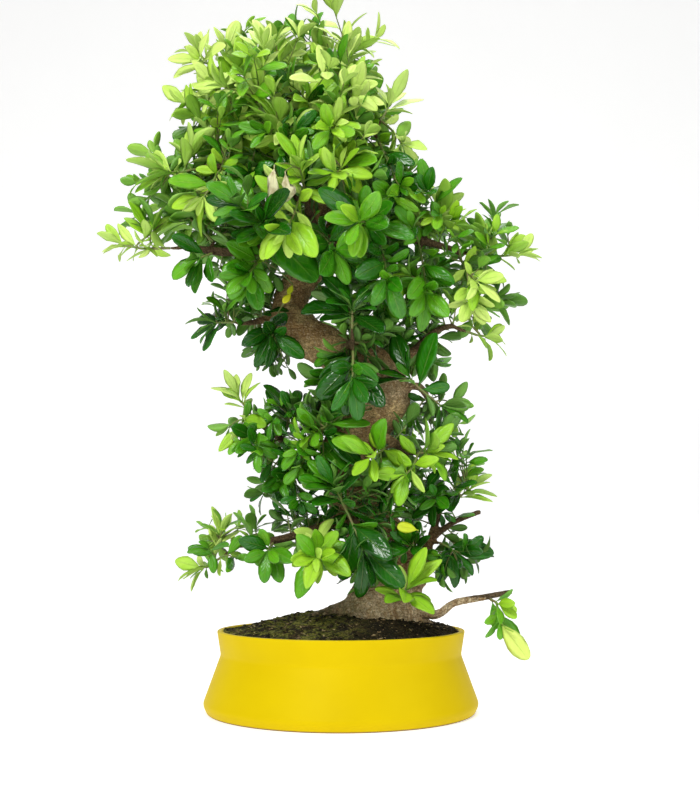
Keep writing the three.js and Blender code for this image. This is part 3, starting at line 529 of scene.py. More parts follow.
def square_to(heading, vector=None):
    """A vector turned square to a heading, or any one direction that is square to it."""
    if vector is None:
        vector = np.array([1.0, 0, 0]) if abs(heading[2]) > 0.9 else np.array([0, 0, 1.0])
    return unit(vector - heading * np.dot(vector, heading))


def lofted(rows, sides, reach=lambda radius, i, outward: radius):
    """A closed round body along rows of x, y, z and radius in millimetres."""
    centres = np.array([row[:3] for row in rows])
    points, faces = [], []
    side = None
    for i, centre in enumerate(centres):
        heading = unit(centres[min(i + 1, len(rows) - 1)] - centres[max(i - 1, 0)])
        side = square_to(heading, side)
        across = np.cross(heading, side)
        for j in range(sides):
            angle = 2 * math.pi * j / sides
            outward = side * math.cos(angle) + across * math.sin(angle)
            points.append((centre + outward * reach(rows[i][3], i, outward)) * MM)
    for i in range(len(rows) - 1):
        for j in range(sides):
            low, after = i * sides + j, i * sides + (j + 1) % sides
            faces.append((low, after, after + sides, low + sides))
    faces.append(tuple(reversed(range(sides))))
    faces.append(tuple(range(len(points) - sides, len(points))))
    return points, faces


def centres_along(rows, first, count):
    """The rows of a limb or twig at even steps, from a station on it to its end."""
    return [along(rows, s) for s in np.linspace(first, len(rows) - 1, count)]


def welded(node):
    """The corners of a CAD node in millimetres, each once, with its faces and edges by number."""
    places = np.round(np.array([vertex.co for vertex in node.data.vertices]) / MM, 3)
    corners, number = np.unique(places, axis=0, return_inverse=True)
    number = number.reshape(-1)
    faces = [tuple(int(number[v]) for v in polygon.vertices) for polygon in node.data.polygons]
    edges = {tuple(sorted((face[k], face[k - 1]))) for face in faces for k in range(3)}
    return corners, faces, sorted(edge for edge in edges if edge[0] != edge[1])


def groups_of(members, links):
    """Splits numbers into groups that are linked with each other."""
    group = {m: m for m in members}

    def head(m):
        while group[m] != m:
            m = group[m]
        return m

    for a, b in links:
        group[head(a)] = head(b)
    together = {}
    for m in members:
        together.setdefault(head(m), []).append(m)
    return list(together.values())


def leaf_from_pairs(middles, at_stem):
    """A leaf's root, directions and sizes, from the middles of its five edges across the blade."""
    near = [m for m, touching in zip(middles, at_stem) if touching]
    far = [m for m, touching in zip(middles, at_stem) if not touching]
    first = sum(near) / 2
    far.sort(key=lambda m: np.linalg.norm(m - first))
    second, tip = (far[0] + far[1]) / 2, far[2]
    chord, last = unit(second - first), unit(tip - second)
    bend = math.acos(min(1, float(np.dot(chord, last)))) / CHORD_TURN
    length = np.linalg.norm(second - first) * bend / (2 * math.sin(HALF_CUT_SPAN * bend))
    up = square_to(chord, chord - last)
    turn = CUT_MIDDLE * bend
    ahead = math.cos(turn) * chord + math.sin(turn) * up
    upper = math.cos(turn) * up - math.sin(turn) * chord
    start = FIRST_CUT * bend
    root = first - length / bend * (math.sin(start) * ahead - (1 - math.cos(start)) * upper)
    half = np.linalg.norm(far[0] - far[1]) / 2 / WIDE_SHARE
    return {"root": root, "ahead": ahead, "upper": upper, "length": length, "half": half, "bend": bend}


def read_spray(node):
    """The leaves of a CAD spray, and the knots of its stems with the way they point."""
    corners, faces, edges = welded(node)
    spans = {edge: np.linalg.norm(corners[edge[0]] - corners[edge[1]]) for edge in edges}
    pairs = [edge for edge in edges if abs(spans[edge] - BLADE_THICKNESS) < 0.003]
    pair_of = {corner: k for k, pair in enumerate(pairs) for corner in pair}
    links = [(pair_of[a], pair_of[b]) for a, b in edges if a in pair_of and b in pair_of]
    seats = {pair_of[a] for a, b in [*edges, *((b, a) for a, b in edges)] if a in pair_of and b not in pair_of}
    leaves = []
    for group in groups_of(range(len(pairs)), links):
        if len(group) == 5 and sum(k in seats for k in group) == 2:
            middles = [(corners[pairs[k][0]] + corners[pairs[k][1]]) / 2 for k in group]
            leaves.append(leaf_from_pairs(middles, [k in seats for k in group]))
    beside = {}
    for a, b in edges:
        if abs(spans[a, b] - RING_SIDE) < 0.006 and a not in pair_of and b not in pair_of:
            beside.setdefault(a, set()).add(b)
            beside.setdefault(b, set()).add(a)
    rings = sorted({tuple(sorted((a, b, c))) for a in beside for b in beside[a] for c in beside[a] & beside[b]})
    capped = {tuple(sorted(face)) for face in faces}
    spots = [(corners[list(ring)].mean(axis=0), ring) for ring in rings] + [(l["root"], None) for l in leaves]
    near = [(i, j) for i in range(len(spots)) for j in range(i)
            if np.linalg.norm(spots[i][0] - spots[j][0]) < KNOT_REACH]
    knots = []
    for group in groups_of(range(len(spots)), near):
        at_rings = [spots[k] for k in group if spots[k][1]]
        place = np.mean([spot for spot, _ in at_rings or [spots[k] for k in group]], axis=0)
        heading = None
        if at_rings:
            a, b, c = corners[list(at_rings[0][1])]
            heading = unit(np.cross(b - a, c - a))
        knots.append({"place": place, "heading": heading, "ends": [ring for _, ring in at_rings if ring in capped],
                      "rings": len(at_rings)})
    return leaves, knots


def first_knot(knots, limb_line):
    """The knot at which a spray stands on its twig: a lone ring with a face across it."""
    ends = [k for k in knots if k["ends"] and k["rings"] == 1] or [k for k in knots if k["rings"]] or knots
    return min(ends, key=lambda k: min(np.linalg.norm(k["place"] - row[:3]) for row in limb_line))


def stem_lines(knots, limb):
    """Lines from knot to knot: each knot grows from the one that stands near it and straight behind it."""
    def cost(pair):
        knot, parent = pair
        step = knot["place"] - parent["place"]
        away = np.linalg.norm(step)
        straight = 1 if knot["heading"] is None else abs(np.dot(step, knot["heading"])) / away
        return away * (1 + 5 * (1 - straight))

    start = first_knot(knots, centres_along(limb_rows(limb), 0, 40))
    grown, left = [start], [k for k in knots if k is not start]
    ways_of = {id(k): [] for k in knots}
    while left:
        knot, parent = min(product(left, grown), key=cost)
        ways_of[id(parent)].append(knot)
        grown.append(knot)
        left = [k for k in left if k is not knot]
    lines = []

    def depth(knot):
        return 1 + max([depth(way) for way in ways_of[id(knot)]], default=0)

    def follow(line, knot):
        ways = sorted(ways_of[id(knot)], key=lambda way: -depth(way))
        if not ways:
            lines.append(line)
            return
        follow([*line, ways[0]["place"]], ways[0])
        for way in ways[1:]:
            follow([knot["place"], way["place"]], way)

    follow([start["place"]], start)
    return [line for line in lines if len(line) > 1]


def twig_rows(name, knots):
    """A woody twig, from the nearest point of its limb to where the green shoot starts."""
    limb = limb_rows(name.split("_", 2)[2])
    line = centres_along(limb, 0.3, 60)
    start = first_knot(knots, line)["place"]
    nearest = min(line, key=lambda row: np.linalg.norm(row[:3] - start))
    middle = (nearest[:3] + start) / 2 + np.array([0, 0, -0.06 * np.linalg.norm(start - nearest[:3])])
    return [[*nearest[:3], TWIG_RADII[0]], [*middle, TWIG_RADII[0]], [*start, TWIG_RADII[1]]]


def wood_body():
    """Trunk, roots and limbs as overlapping bodies, all in one list of points and faces."""
    stations = np.linspace(0, len(TRUNK) - 1, 6 * len(TRUNK))
    parts = [(rows, 24) for rows in ROOTS] + [(limb_rows(name), 14) for name in LIMBS]
    parts += [(twig_rows(*spray), 8) for spray in spray_knots.items()]
    bodies = [lofted([along(TRUNK, s) for s in stations], 48,
                     lambda radius, i, outward: swelled(radius, stations[i], outward))]
    bodies += [lofted(centres_along(rows, 0, 7 * len(rows)), sides) for rows, sides in parts]
    points, faces = [], []
    for body_points, body_faces in bodies:
        first = len(points)
        points += body_points
        faces += [tuple(first + k for k in face) for face in body_faces]
    return points, faces


def search_tree(spots):
    """A tree that finds the nearest of some spots by number."""
    tree = KDTree(len(spots))
    for number, spot in enumerate(spots):
        tree.insert(spot, number)
    tree.balance()
    return tree


trunk_line = centres_along(TRUNK, 0, 200)
trunk_tree = search_tree([Vector(row[:3]) * MM for row in trunk_line])


def bark_relief(place):
    """How far the bark stands out at a point: broad lumps, knobs and wrinkles that run round the trunk."""
    _, number, away = trunk_tree.find(place)
    radius = trunk_line[number][3] * MM
    on_trunk = max(0.12, min(1, 1.6 - away / (1.9 * radius))) * min(1, radius / (13 * MM))
    broad = noise.noise(place * 36)
    knobs = noise.fractal(place * 120, 0.9, 2.1, 4)
    bent = place + 0.006 * Vector((noise.noise(place * 60), noise.noise(place * 60 + Vector((9, 0, 0))), 0))
    wrinkle = 1 - 2 * abs(noise.noise(Vector((bent.x * 150, bent.y * 150, bent.z * 430))))
    low = max(0, 1 - (place.z - 78 * MM) / (60 * MM))
    furrow = abs(noise.noise(Vector((place.x * 260, place.y * 260, place.z * 70))))
    return MM * on_trunk * (1.5 * broad + 1.0 * knobs + 0.45 * wrinkle + low * (1.8 * furrow - 0.5))


def paint_bark(tree, where):
    height = tree.axis(where, "Z")
    thin = tree.add("ShaderNodeAttribute", {"attribute_name": "thin"}, out="Fac")
    patches = tree.noise(where, 55, 4, 0.6)
    grit = tree.noise(where, 700, 5, 0.75)
    crust = tree.noise(tree.stretched(where, (1, 1, 2.4)), 250, 4, 0.65)
    blotch = tree.noise(where, 95, 3, 0.6)
    sway = tree.add("ShaderNodeTexNoise", Vector=where, Scale=90, Detail=2, out="Color")
    bent = tree.summed(where, tree.scaled(sway, 9 * MM))
    fibre = tree.noise(tree.stretched(bent, (1, 1, 0.28)), 300, 4, 0.6)
    crack = tree.add("ShaderNodeTexVoronoi", {"feature": "DISTANCE_TO_EDGE"}, out="Distance",
                     Vector=tree.stretched(bent, (0.75, 0.75, 1.7)), Scale=260).between(0.10, 0.0)
    reddish = height.between(175 * MM, 150 * MM) * height.between(100 * MM, 118 * MM)
    old = height.between(125 * MM, 96 * MM)
    knob = height.between(262 * MM, 276 * MM) * height.between(312 * MM, 296 * MM)
    grey = (old + 0.8 * knob) * patches.between(0.2, 0.55)
    ground = height.between(104 * MM, 96 * MM)
    soiled = tree.axis(where, "X").between(8 * MM, -14 * MM) * crust.between(0.34, 0.5)
    colour = tree.layered(
        BARK_BROWN,
        (patches.between(0.40, 0.62), BARK_TAN),
        (0.7 * reddish, BARK_RED),
        (0.70 * grey, BARK_GREY),
        (0.65 * fibre.between(0.50, 0.40), BARK_BROWN),
        (0.55 * old * fibre.between(0.54, 0.64), BARK_PALE),
        (0.30 * blotch.between(0.48, 0.34), BARK_DARK),
        (0.38 * crust.between(0.47, 0.36), BARK_DARK),
        (0.6 * grit.between(0.53, 0.64) * crust.between(0.42, 0.52), BARK_PALE),
        (0.32 * grit.between(0.50, 0.40), BARK_DARK),
        (0.45 * crack, BARK_DARK),
        (0.9 * thin, tree.mixed(grit.between(0.40, 0.62), TWIG_DARK, TWIG_BROWN)),
        (0.9 * ground * moss_share(tree, where), tree.mixed(grit.between(0.40, 0.62), MOSS_DARK, MOSS_BRIGHT)),
        (0.85 * ground * soiled, tree.mixed(grit, PEAT, PEAT_BROWN)),
    )
    relief = 1.2 * crust + 0.7 * grit + 0.8 * fibre - 0.5 * crack
    return {"Base Color": colour, "Roughness": 0.66 + 0.25 * grit, "Normal": tree.bump(relief, 1.7 * MM)}


def note(mesh, name, values, kind="FLOAT", domain="POINT"):
    """Writes a number or a vector on every point or face of a mesh."""
    mesh.attributes.new(name, kind, domain).data.foreach_set("value" if kind == "FLOAT" else "vector", values)


spray_knots = {}
spray_leaves = {}
for name in sorted(frame["nodes"]):
    if name.startswith("spray"):
        spray_leaves[name], spray_knots[name] = read_spray(frame["nodes"][name])
bark = new_finish("old_bark", paint_bark, Specular_IOR_Level=0.25)
wood = new_piece("trunk_and_limbs", *wood_body(), bark)
fusing = wood.modifiers.new("fuse", "REMESH")
fusing.mode = "VOXEL"
fusing.voxel_size = WOOD_VOXEL
easing = wood.modifiers.new("ease", "SMOOTH")
easing.iterations = 4
fused = bpy.data.meshes.new_from_object(wood.evaluated_get(bpy.context.evaluated_depsgraph_get()))
wood.modifiers.clear()
wood.data = fused
normals = [vertex.normal.copy() for vertex in fused.vertices]
slimness = []
for vertex, normal in zip(fused.vertices, normals):
    _, number, away = trunk_tree.find(vertex.co)
    on_root = vertex.co.z < ROOTS_BELOW and math.hypot(vertex.co.x - ROOTS_X, vertex.co.y) < ROOTS_WITHIN
    slimness.append(0 if on_root else held((away / (trunk_line[number][3] * MM) - 1.5) / 0.8))
    vertex.co += normal * bark_relief(vertex.co)
note(fused, "thin", slimness)
fused.shade_smooth()
seat_on_frame(wood, "bark", "trunk")

# The sprays: green shoots of this year that stand on the woody twigs, set with leathery leaves that are
# glossy and dark when old, and soft and lime green at the tips. Leaves and shoot are one growth.
LEAF_ROWS = ((0, 0.07), (0.1, 0.09), (0.21, 0.38), (0.37, 0.76), (0.56, 1), (0.74, 0.98), (0.89, 0.74), (0.97, 0.40))
LEAF_COLUMNS = (-1, -0.5, 0, 0.5, 1)
LEAF_CLEARANCE = 2.3
LEAF_TURN = 2.4
LIGHT_SIDE = np.array([0.05, -0.62, 0.78])
WOOD_GAP = 3
SOIL_REACH = 126
LEAF_NUMBERS = ("length", "half", "bend", "fold", "wave", "phase", "pointed", "tint", "gloss", "dry")
LEAF_PLACES = ("root", "ahead", "upper")


def point_of_leaf(leaf, u, v):
    """The point of a blade at a share of its length, and at an offset across in half widths."""
    angle = leaf["bend"] * u
    reach = leaf["length"] / leaf["bend"]
    left = np.cross(leaf["upper"], leaf["ahead"])
    rise = -reach * (1 - math.cos(angle)) + leaf["fold"] * abs(v) * leaf["half"]
    return leaf["root"] + leaf["ahead"] * reach * math.sin(angle) + leaf["upper"] * rise + left * v * leaf["half"]


class LeafRoom:
    """Keeps the sample points of all leaves by cell, to see whether a new leaf has room."""

    def __init__(self):
        self.cells = {}

    def samples(self, leaf):
        """Twelve points of a leaf, each with the cell in which it lies."""
        for u, w in ((0.35, 0.7), (0.6, 1), (0.85, 0.8), (1, 0)):
            for v in (-0.7, 0, 0.7):
                point = point_of_leaf(leaf, u, v * w)
                yield point, tuple((point // LEAF_CLEARANCE).astype(int))

    def take(self, leaf):
        for point, cell in self.samples(leaf):
            self.cells.setdefault(cell, []).append(point)

    def give_back(self, leaf):
        for point, cell in self.samples(leaf):
            self.cells[cell] = [other for other in self.cells[cell] if not np.array_equal(other, point)]

    def has_room(self, leaf):
        for point, (i, j, k) in self.samples(leaf):
            for a, b, c in product((-1, 0, 1), repeat=3):
                for other in self.cells.get((i + a, j + b, k + c), ()):
                    if np.linalg.norm(point - other) < LEAF_CLEARANCE:
                        return False
        return True


# An added leaf may stand this many millimetres farther out from the trunk than a large leaf, and beside it.
FARTHER_OUT = 30
ASIDE = 36


def within_reach(point):
    """Whether a point is at most a little farther out from the trunk than some large leaf beside it."""
    spot, _, _ = trunk_tree.find(Vector(point) * MM)
    outward = unit(np.array(point) - np.array(spot) / MM)
    offset = large_leaf_points - point
    ahead = offset @ outward
    aside = np.linalg.norm(offset - np.outer(ahead, outward), axis=1)
    return bool(np.any((ahead > -FARTHER_OUT) & (aside < ASIDE)))


def clear_of_wood(leaf):
    """Whether a leaf stays off the trunk and the soil, and inside the room that the CAD tree takes."""
    for u in (0.4, 0.7, 1):
        point = point_of_leaf(leaf, u, 0)
        if any(not low / MM <= c <= high / MM for c, low, high in zip(point, *cad_box)):
            return False
        _, number, away = trunk_tree.find(Vector(point) * MM)
        if away < (trunk_line[number][3] + WOOD_GAP) * MM:
            return False
        over_soil = math.hypot(*point[:2]) < SOIL_REACH
        if point[2] < WOOD_GAP + (soil_height(point[0] * MM, point[1] * MM) / MM if over_soil else 0):
            return False
    return within_reach(point_of_leaf(leaf, 0.55, 0)) and within_reach(point_of_leaf(leaf, 0.95, 0))


# Young leaves are light and old ones deep green. Those outside and high up are painted lighter, as painted light from
# above, and those within darker, as painted shade. Whole shoots differ, because each flushed at its own time. A tint
# of 1 is the lightest green.
USUAL_TINT = {"young": 0.66, "mature": 0.21}
CROWN_DEPTH = 110
CROWN_FOOT = 470
FLUSH_SIZE = 38
USUAL_LENGTH = 32
LEAF_YELLOWED = (0.74, 0.70, 0.015, 1)
LEAF_WITHERED = (0.74, 0.72, 0.44, 1)
LEAF_RUST = (0.36, 0.27, 0.12, 1)
LEAF_PALE = (0.46, 0.64, 0.12, 1)
LEAF_UNDER = (0.24, 0.42, 0.09, 1)
LEAF_GREENS = [
    (0.0, (0.004, 0.056, 0.001, 1)), (0.25, (0.018, 0.165, 0.002, 1)), (0.5, (0.115, 0.385, 0.006, 1)),
    (0.75, (0.350, 0.640, 0.022, 1)), (1.0, (0.640, 0.840, 0.190, 1)),
]
STEM_GREEN = (0.14, 0.26, 0.035, 1)
STEM_BROWN = (0.20, 0.17, 0.06, 1)


def growth_tint(leaf, age, chance):
    """A leaf's share of light green, from its age, its size and the flush of its shoot, with painted light from its
    place on the tree: lighter high up and outside, darker within.
    """
    _, _, away = trunk_tree.find(Vector(leaf["root"]) * MM)
    # The outward and height shares are painted light: leaves high up and outside are lighter, and those within are
    # darker as painted shade.
    outside = min(1, away / MM / CROWN_DEPTH)
    painted_sun = held((leaf["root"][2] - CROWN_FOOT) / CROWN_DEPTH)
    flush = noise.noise(Vector(leaf["root"]) / FLUSH_SIZE)
    grown = min(1, max(-1, 2 * (leaf["length"] - USUAL_LENGTH) / USUAL_LENGTH))
    return USUAL_TINT[age] + 0.34 * (outside - 0.5) + 0.30 * painted_sun + 0.34 * flush - 0.14 * grown + chance.gauss(0, 0.09)


def fold_and_shade(leaf, age, chance):
    """Gives a leaf the details that the CAD leaves out: its fold, its waves and its share of light green."""
    tint = held(growth_tint(leaf, age, chance))
    leaf.update(
        tint=tint, gloss=held(1.15 - 1.3 * tint), fold=chance.uniform(0.1, 0.42),
        wave=chance.uniform(0.03, 0.18), phase=chance.uniform(0, 6.28),
        pointed=chance.uniform(0.3, 1.1) if age == "young" else chance.uniform(0, 0.6), dry=0.0,
    )


def new_leaf(place, heading, angle, spread, length, rise, chance):
    """A leaf that stands off a stem's heading, turned round it by an angle, with its face to the light."""
    side = square_to(heading)
    radial = side * math.cos(angle) + np.cross(heading, side) * math.sin(angle)
    ahead = unit(heading * math.cos(spread) + radial * math.sin(spread) + np.array([0, 0, rise]))
    upper = 0.8 * (heading * math.sin(spread) - radial * math.cos(spread)) + 0.45 * LIGHT_SIDE
    upper = square_to(ahead, upper + np.array([chance.uniform(-0.45, 0.45) for _ in range(3)]))
    bend = 0.12 + 0.75 * chance.random() ** 2
    return {"root": place, "ahead": ahead, "upper": upper, "length": length,
            "half": length * chance.uniform(0.18, 0.25), "bend": bend}


def add_leaf(leaf, age, leaves, chance):
    """Shades a leaf and adds it if it has room. Says whether it had."""
    fold_and_shade(leaf, age, chance)
    fits = clear_of_wood(leaf) and room.has_room(leaf)
    if fits:
        room.take(leaf)
        leaves.append(leaf)
    return fits


def dress_line(line, age, length, leaves, chance, spacing=5.5):
    """Adds smaller leaves along a stem, between the leaves that are there, where they have room."""
    turn = chance.uniform(0, 6.28)
    for a, b in zip(line, line[1:]):
        heading = unit(b - a)
        steps = max(1, round(np.linalg.norm(b - a) / spacing))
        for k in range(steps):
            place = a + (b - a) * (k + 0.6) / steps
            for attempt in range(6):
                turn += LEAF_TURN
                rise = chance.uniform(0.1, 0.4) if age == "young" else chance.uniform(-0.3, 0.15)
                size = length * chance.uniform(0.6, 0.95) * (1 - 0.09 * attempt)
                leaf = new_leaf(place, heading, turn, chance.uniform(0.7, 1.3), size, rise, chance)
                if add_leaf(leaf, age, leaves, chance):
                    break


def tip_cluster(line, age, length, count, leaves, chance):
    """A rosette of small leaves that stand up round a stem's tip."""
    heading = unit(line[-1] - line[-2])
    turn = chance.uniform(0, 6.28)
    for k in range(count):
        turn += LEAF_TURN
        size = length * (0.55 + 0.4 * k / count)
        leaf = new_leaf(line[-1], heading, turn, 0.25 + 0.75 * k / count, size, 0.2, chance)
        add_leaf(leaf, age, leaves, chance)


def leaf_template():
    """A leaf of unit size: x along, y across, z up to its upper face. One closed body of few faces."""
    points, faces, along_it, across_it, under = [], [], [], [], []

    def corner(u, v, y, z):
        points.append((u, y, z))
        along_it.append(u)
        across_it.append(v)
        return len(points) - 1

    rows = []
    for u, w in LEAF_ROWS:
        thick = max(0.24, 0.9 - 5 * u)
        top = [corner(u, v, v * w, thick * (1 - v * v)) for v in LEAF_COLUMNS]
        low = [corner(u, v, v * w, -thick * (1 - v * v)) for v in LEAF_COLUMNS[1:-1]]
        rows.append((top, [top[0], *low, top[-1]]))
    tip = corner(1, 0, 0, 0)
    for (top, low), (next_top, next_low) in zip(rows, rows[1:]):
        for k in range(4):
            faces.append((top[k], next_top[k], next_top[k + 1], top[k + 1]))
            faces.append((low[k], low[k + 1], next_low[k + 1], next_low[k]))
            under += [0.0, 1.0]
    top, low = rows[-1]
    for k in range(4):
        faces += [(top[k], tip, top[k + 1]), (low[k], low[k + 1], tip)]
        under += [0.0, 1.0]
    top, low = rows[0]
    faces.append((*top, *reversed(low[1:-1])))
    mesh = bpy.data.meshes.new("leaf")
    mesh.from_pydata(points, [], [tuple(reversed(face)) for face in faces])
    note(mesh, "along", along_it)
    note(mesh, "across", across_it)
    note(mesh, "under", [*under, 0.0], domain="FACE")
    mesh.shade_smooth()
    return new_object("leaf_template", mesh)


def growth_source(name, lines, leaves, thick):
    """A mesh with a loose point for each leaf and a line for each stem, with their sizes as attributes."""
    points = [(0, 0, 0)] * len(leaves)
    edges = []
    radii = [0.0] * len(leaves)
    for line in lines:
        for k, place in enumerate(line):
            if k:
                edges.append((len(points) - 1, len(points)))
            points.append(tuple(np.array(place) * MM))
            radii.append(thick * (1 - 0.45 * k / max(1, len(line) - 1)) * MM)
    mesh = bpy.data.meshes.new(name)
    mesh.from_pydata(points, edges, [])
    blank = len(points) - len(leaves)
    for key in LEAF_NUMBERS:
        scale = MM if key in ("length", "half") else 1
        note(mesh, key, [leaf[key] * scale for leaf in leaves] + [1.0] * blank)
    for key in LEAF_PLACES:
        scale = MM if key == "root" else 1
        values = [c * scale for leaf in leaves for c in leaf[key]] + [0.0] * (3 * blank)
        note(mesh, key, values, "FLOAT_VECTOR")
    note(mesh, "thick", radii)
    note(mesh, "bud", [1.0] * len(leaves) + [0.0] * blank)
    return mesh


def leaves_and_stems(tree, wires):
    """Bends a leaf onto every leaf point, and lays a round stem along every line."""
    def number(name, kind="FLOAT"):
        return tree.add("GeometryNodeInputNamedAttribute", {"data_type": kind}, Name=name)

    root, forward, upper = (number(name, "FLOAT_VECTOR") for name in LEAF_PLACES)
    half, length, bend = number("half"), number("length"), number("bend")
    chosen = number("bud").math("GREATER_THAN", 0.5)
    shape = tree.add("GeometryNodeObjectInfo", {"transform_space": "ORIGINAL"}, Object=wires["Leaf"], out="Geometry")
    leaves = tree.add("GeometryNodeInstanceOnPoints", Points=wires["Geometry"], Selection=chosen, Instance=shape)
    leaves = tree.add("GeometryNodeRealizeInstances", Geometry=leaves)
    flat = tree.add("GeometryNodeInputPosition")
    u, y, z = (tree.axis(flat, letter) for letter in "XYZ")
    y = y * (1 - number("pointed") * (u - 0.5).math("MAXIMUM", 0.0))
    angle = u * bend
    reach = length / bend
    drop = reach * (1 - angle.math("COSINE"))
    ripple = number("wave") * (u * 9 + number("phase")).math("SINE") * y * y
    rise = half * (number("fold") * abs(y) + ripple) - drop + wires["Thickness"] * z
    left = tree.add("ShaderNodeVectorMath", {"operation": "CROSS_PRODUCT"}, {0: upper, 1: forward})
    bent = tree.summed(root, tree.scaled(forward, reach * angle.math("SINE")), tree.scaled(upper, rise),
                       tree.scaled(left, y * half))
    leaves = tree.add("GeometryNodeSetPosition", Geometry=leaves, Position=bent)
    lines = tree.add("GeometryNodeMeshToCurve", Mesh=wires["Geometry"])
    lines = tree.add("GeometryNodeCurveSplineType", {"spline_type": "CATMULL_ROM"}, Curve=lines)
    lines = tree.add("GeometryNodeResampleCurve", {"mode": "LENGTH"}, Curve=lines, Length=wires["Step"])
    circle = tree.add("GeometryNodeCurvePrimitiveCircle", Resolution=wires["Sides"], Radius=1.0)
    stems = tree.add("GeometryNodeCurveToMesh", {}, {
        "Curve": lines, "Profile Curve": circle, "Scale": number("thick"), "Fill Caps": True,
    })
    stems = tree.add("GeometryNodeSetMaterial", Geometry=stems, Material=stem_finish)
    return tree.join(stems, tree.add("GeometryNodeSetMaterial", Geometry=leaves, Material=leaf_finish))


def paint_leaf(tree, where):
    def number(name):
        return tree.add("ShaderNodeAttribute", {"attribute_name": name}, out="Fac")

    tint, along_it, dry, under = (number(name) for name in ("tint", "along", "dry", "under"))
    side = abs(number("across"))
    mottle = tree.noise(where, 140)
    green = tree.ramp(tint + 0.20 * (mottle - 0.5), LEAF_GREENS)
    ripple = (along_it * 8 - side * 2.6).math("PINGPONG", 0.5)
    vein = ripple.between(0.12, 0.0) * side.between(0.95, 0.5)
    rib = side.between(0.09, 0.02) * along_it.between(1.0, 0.7)
    pale = tree.mixed(0.4, green, LEAF_PALE)
    colour = tree.layered(green, (0.10 * vein, pale), ((0.2 + 0.45 * tint) * rib, pale),
                          ((0.2 + 0.45 * tint) * side.between(0.86, 0.99), pale))
    colour = tree.layered(
        colour, (under, tree.mixed(0.40, colour, LEAF_UNDER)), (dry.between(0.0, 0.4), LEAF_YELLOWED),
        (dry.between(0.5, 0.9), tree.mixed(mottle.between(0.45, 0.75), LEAF_WITHERED, LEAF_RUST)),
    )
    rough = 0.44 - 0.27 * number("gloss") + 0.16 * under + 0.06 * mottle
    relief = 1.1 * mottle + 0.35 * ripple * side.between(1.0, 0.6) - (0.9 * rib + 0.12 * vein)
    return {"Base Color": colour, "Roughness": rough, "Normal": tree.bump(relief, 0.8 * MM, 0.6)}


def paint_stem(tree, where):
    streak = tree.noise(tree.stretched(where, (1, 1, 0.3)), 260)
    colour = tree.mixed(streak.between(0.35, 0.65), STEM_GREEN, STEM_BROWN)
    return {"Base Color": colour, "Normal": tree.bump(streak, 0.2 * MM)}


def grow_leafy(name, lines, leaves, thick, sizes, slot, *replaced):
    """A piece of stems and leaves. Only the numbers that its finish reads are kept on it."""
    source = growth_source(name, lines, leaves, thick)
    keep = ("along", "across", "under", "tint", "gloss", "dry")
    seat_on_frame(grow_piece(name, source, sizes, leaves_and_stems, None, keep), slot, *replaced)


leaf_finish = new_finish("leaf_skin", paint_leaf, Specular_IOR_Level=0.42)
stem_finish = new_finish("green_stem", paint_stem, Roughness=0.5)
large_leaf_points = np.array([
    point_of_leaf({**leaf, "fold": 0}, u, 0)
    for leaves in spray_leaves.values() for leaf in leaves for u in (0.2, 0.6, 1)
])
template = leaf_template()
room = LeafRoom()
slots = {row["node"]: row["material_slot"] for row in frame["record"]["subparts"]}
sprays = []
for name in sorted(slots):
    if not name.startswith("spray"):
        continue
    leaves = spray_leaves[name]
    chance = random.Random(name)
    age = slots[name].split("_")[0]
    for leaf in leaves:
        fold_and_shade(leaf, age, chance)
        room.take(leaf)
    sprays.append((name, age, leaves, stem_lines(spray_knots[name], name.split("_", 2)[2])))
# The lowest leaf at the pot's right is the palest of all, a light yellow green.
pale = min(spray_leaves["spray_56_base_right"], key=lambda leaf: point_of_leaf(leaf, 1, 0)[2])
pale.update(tint=1.0, gloss=0.1, dry=0.06)
for name, age, leaves, lines in sprays:
    chance = random.Random(name + "_more")
    usual = float(np.mean([leaf["length"] for leaf in leaves]))
    for line in lines:
        dress_line(line, age, usual, leaves, chance)
        tip_cluster(line, age, usual, 4, leaves, chance)
leaf_sizes = {"Leaf": template, "Thickness": 1.0 * MM, "Step": 3.0 * MM, "Sides": 6}
for name, age, leaves, lines in sprays:
    grow_leafy(name + "_leafy", lines, leaves, 1.25, leaf_sizes, slots[name], name)

# The odd leaves: two that have withered and hang limp before the crown, and three small ones that have gone
# yellow, two by the bend of the trunk and one low on the right. Each hangs on a short stalk of its own.
# Of each: where it starts, where it ends, half its width, and how dry it is.
ODD_LEAVES = [
    ((-55, -112, 461), (-58, -116, 424), 5, 1.0), ((-46, -112, 454), (-43, -109, 427), 5, 1.0),
    ((-43, -38, 376), (-47, -42, 366), 3.0, 0.28), ((-44, -38, 367), (-51, -42, 358), 3.4, 0.36),
    ((66, -50, 158), (48, -52, 162), 5, 0.22),
]
# Where a leaf has no room, it is tried farther forward.
FORWARD_STEPS = range(0, 24, 4)

skeleton = [row[:3] for name in LIMBS for row in centres_along(limb_rows(name), 0.4, 30)]
for _, _, _, lines in sprays:
    skeleton += [a + (b - a) * k / 4 for line in lines for a, b in zip(line, line[1:]) for k in range(4)]
skeleton_tree = search_tree(skeleton)
odd_leaves, odd_stalks = [], []
chance = random.Random("odd leaves")
for start, end, half, dry in ODD_LEAVES:
    blade = np.array(end, float) - start
    for forward in FORWARD_STEPS:
        root = np.array(start, float) - (0, forward, 0)
        upper = square_to(unit(blade), np.array([chance.uniform(-0.5, 0.5), -1, 0.3]))
        leaf = {"root": root, "ahead": unit(blade), "upper": upper, "length": np.linalg.norm(blade),
                "half": half, "bend": 0.3}
        fold_and_shade(leaf, "mature", chance)
        if room.has_room(leaf):
            break
    leaf.update(tint=0.75, gloss=0.3, dry=dry)
    if dry == 1:
        leaf.update(gloss=0.0, fold=0.9, wave=1.4, bend=0.9, pointed=-0.9)
    room.take(leaf)
    odd_leaves.append(leaf)
    hold = skeleton[skeleton_tree.find(root)[1]]
    odd_stalks.append([hold, (hold + root) / 2 + np.array([0, 0, 3]), root, root + 0.1 * blade])
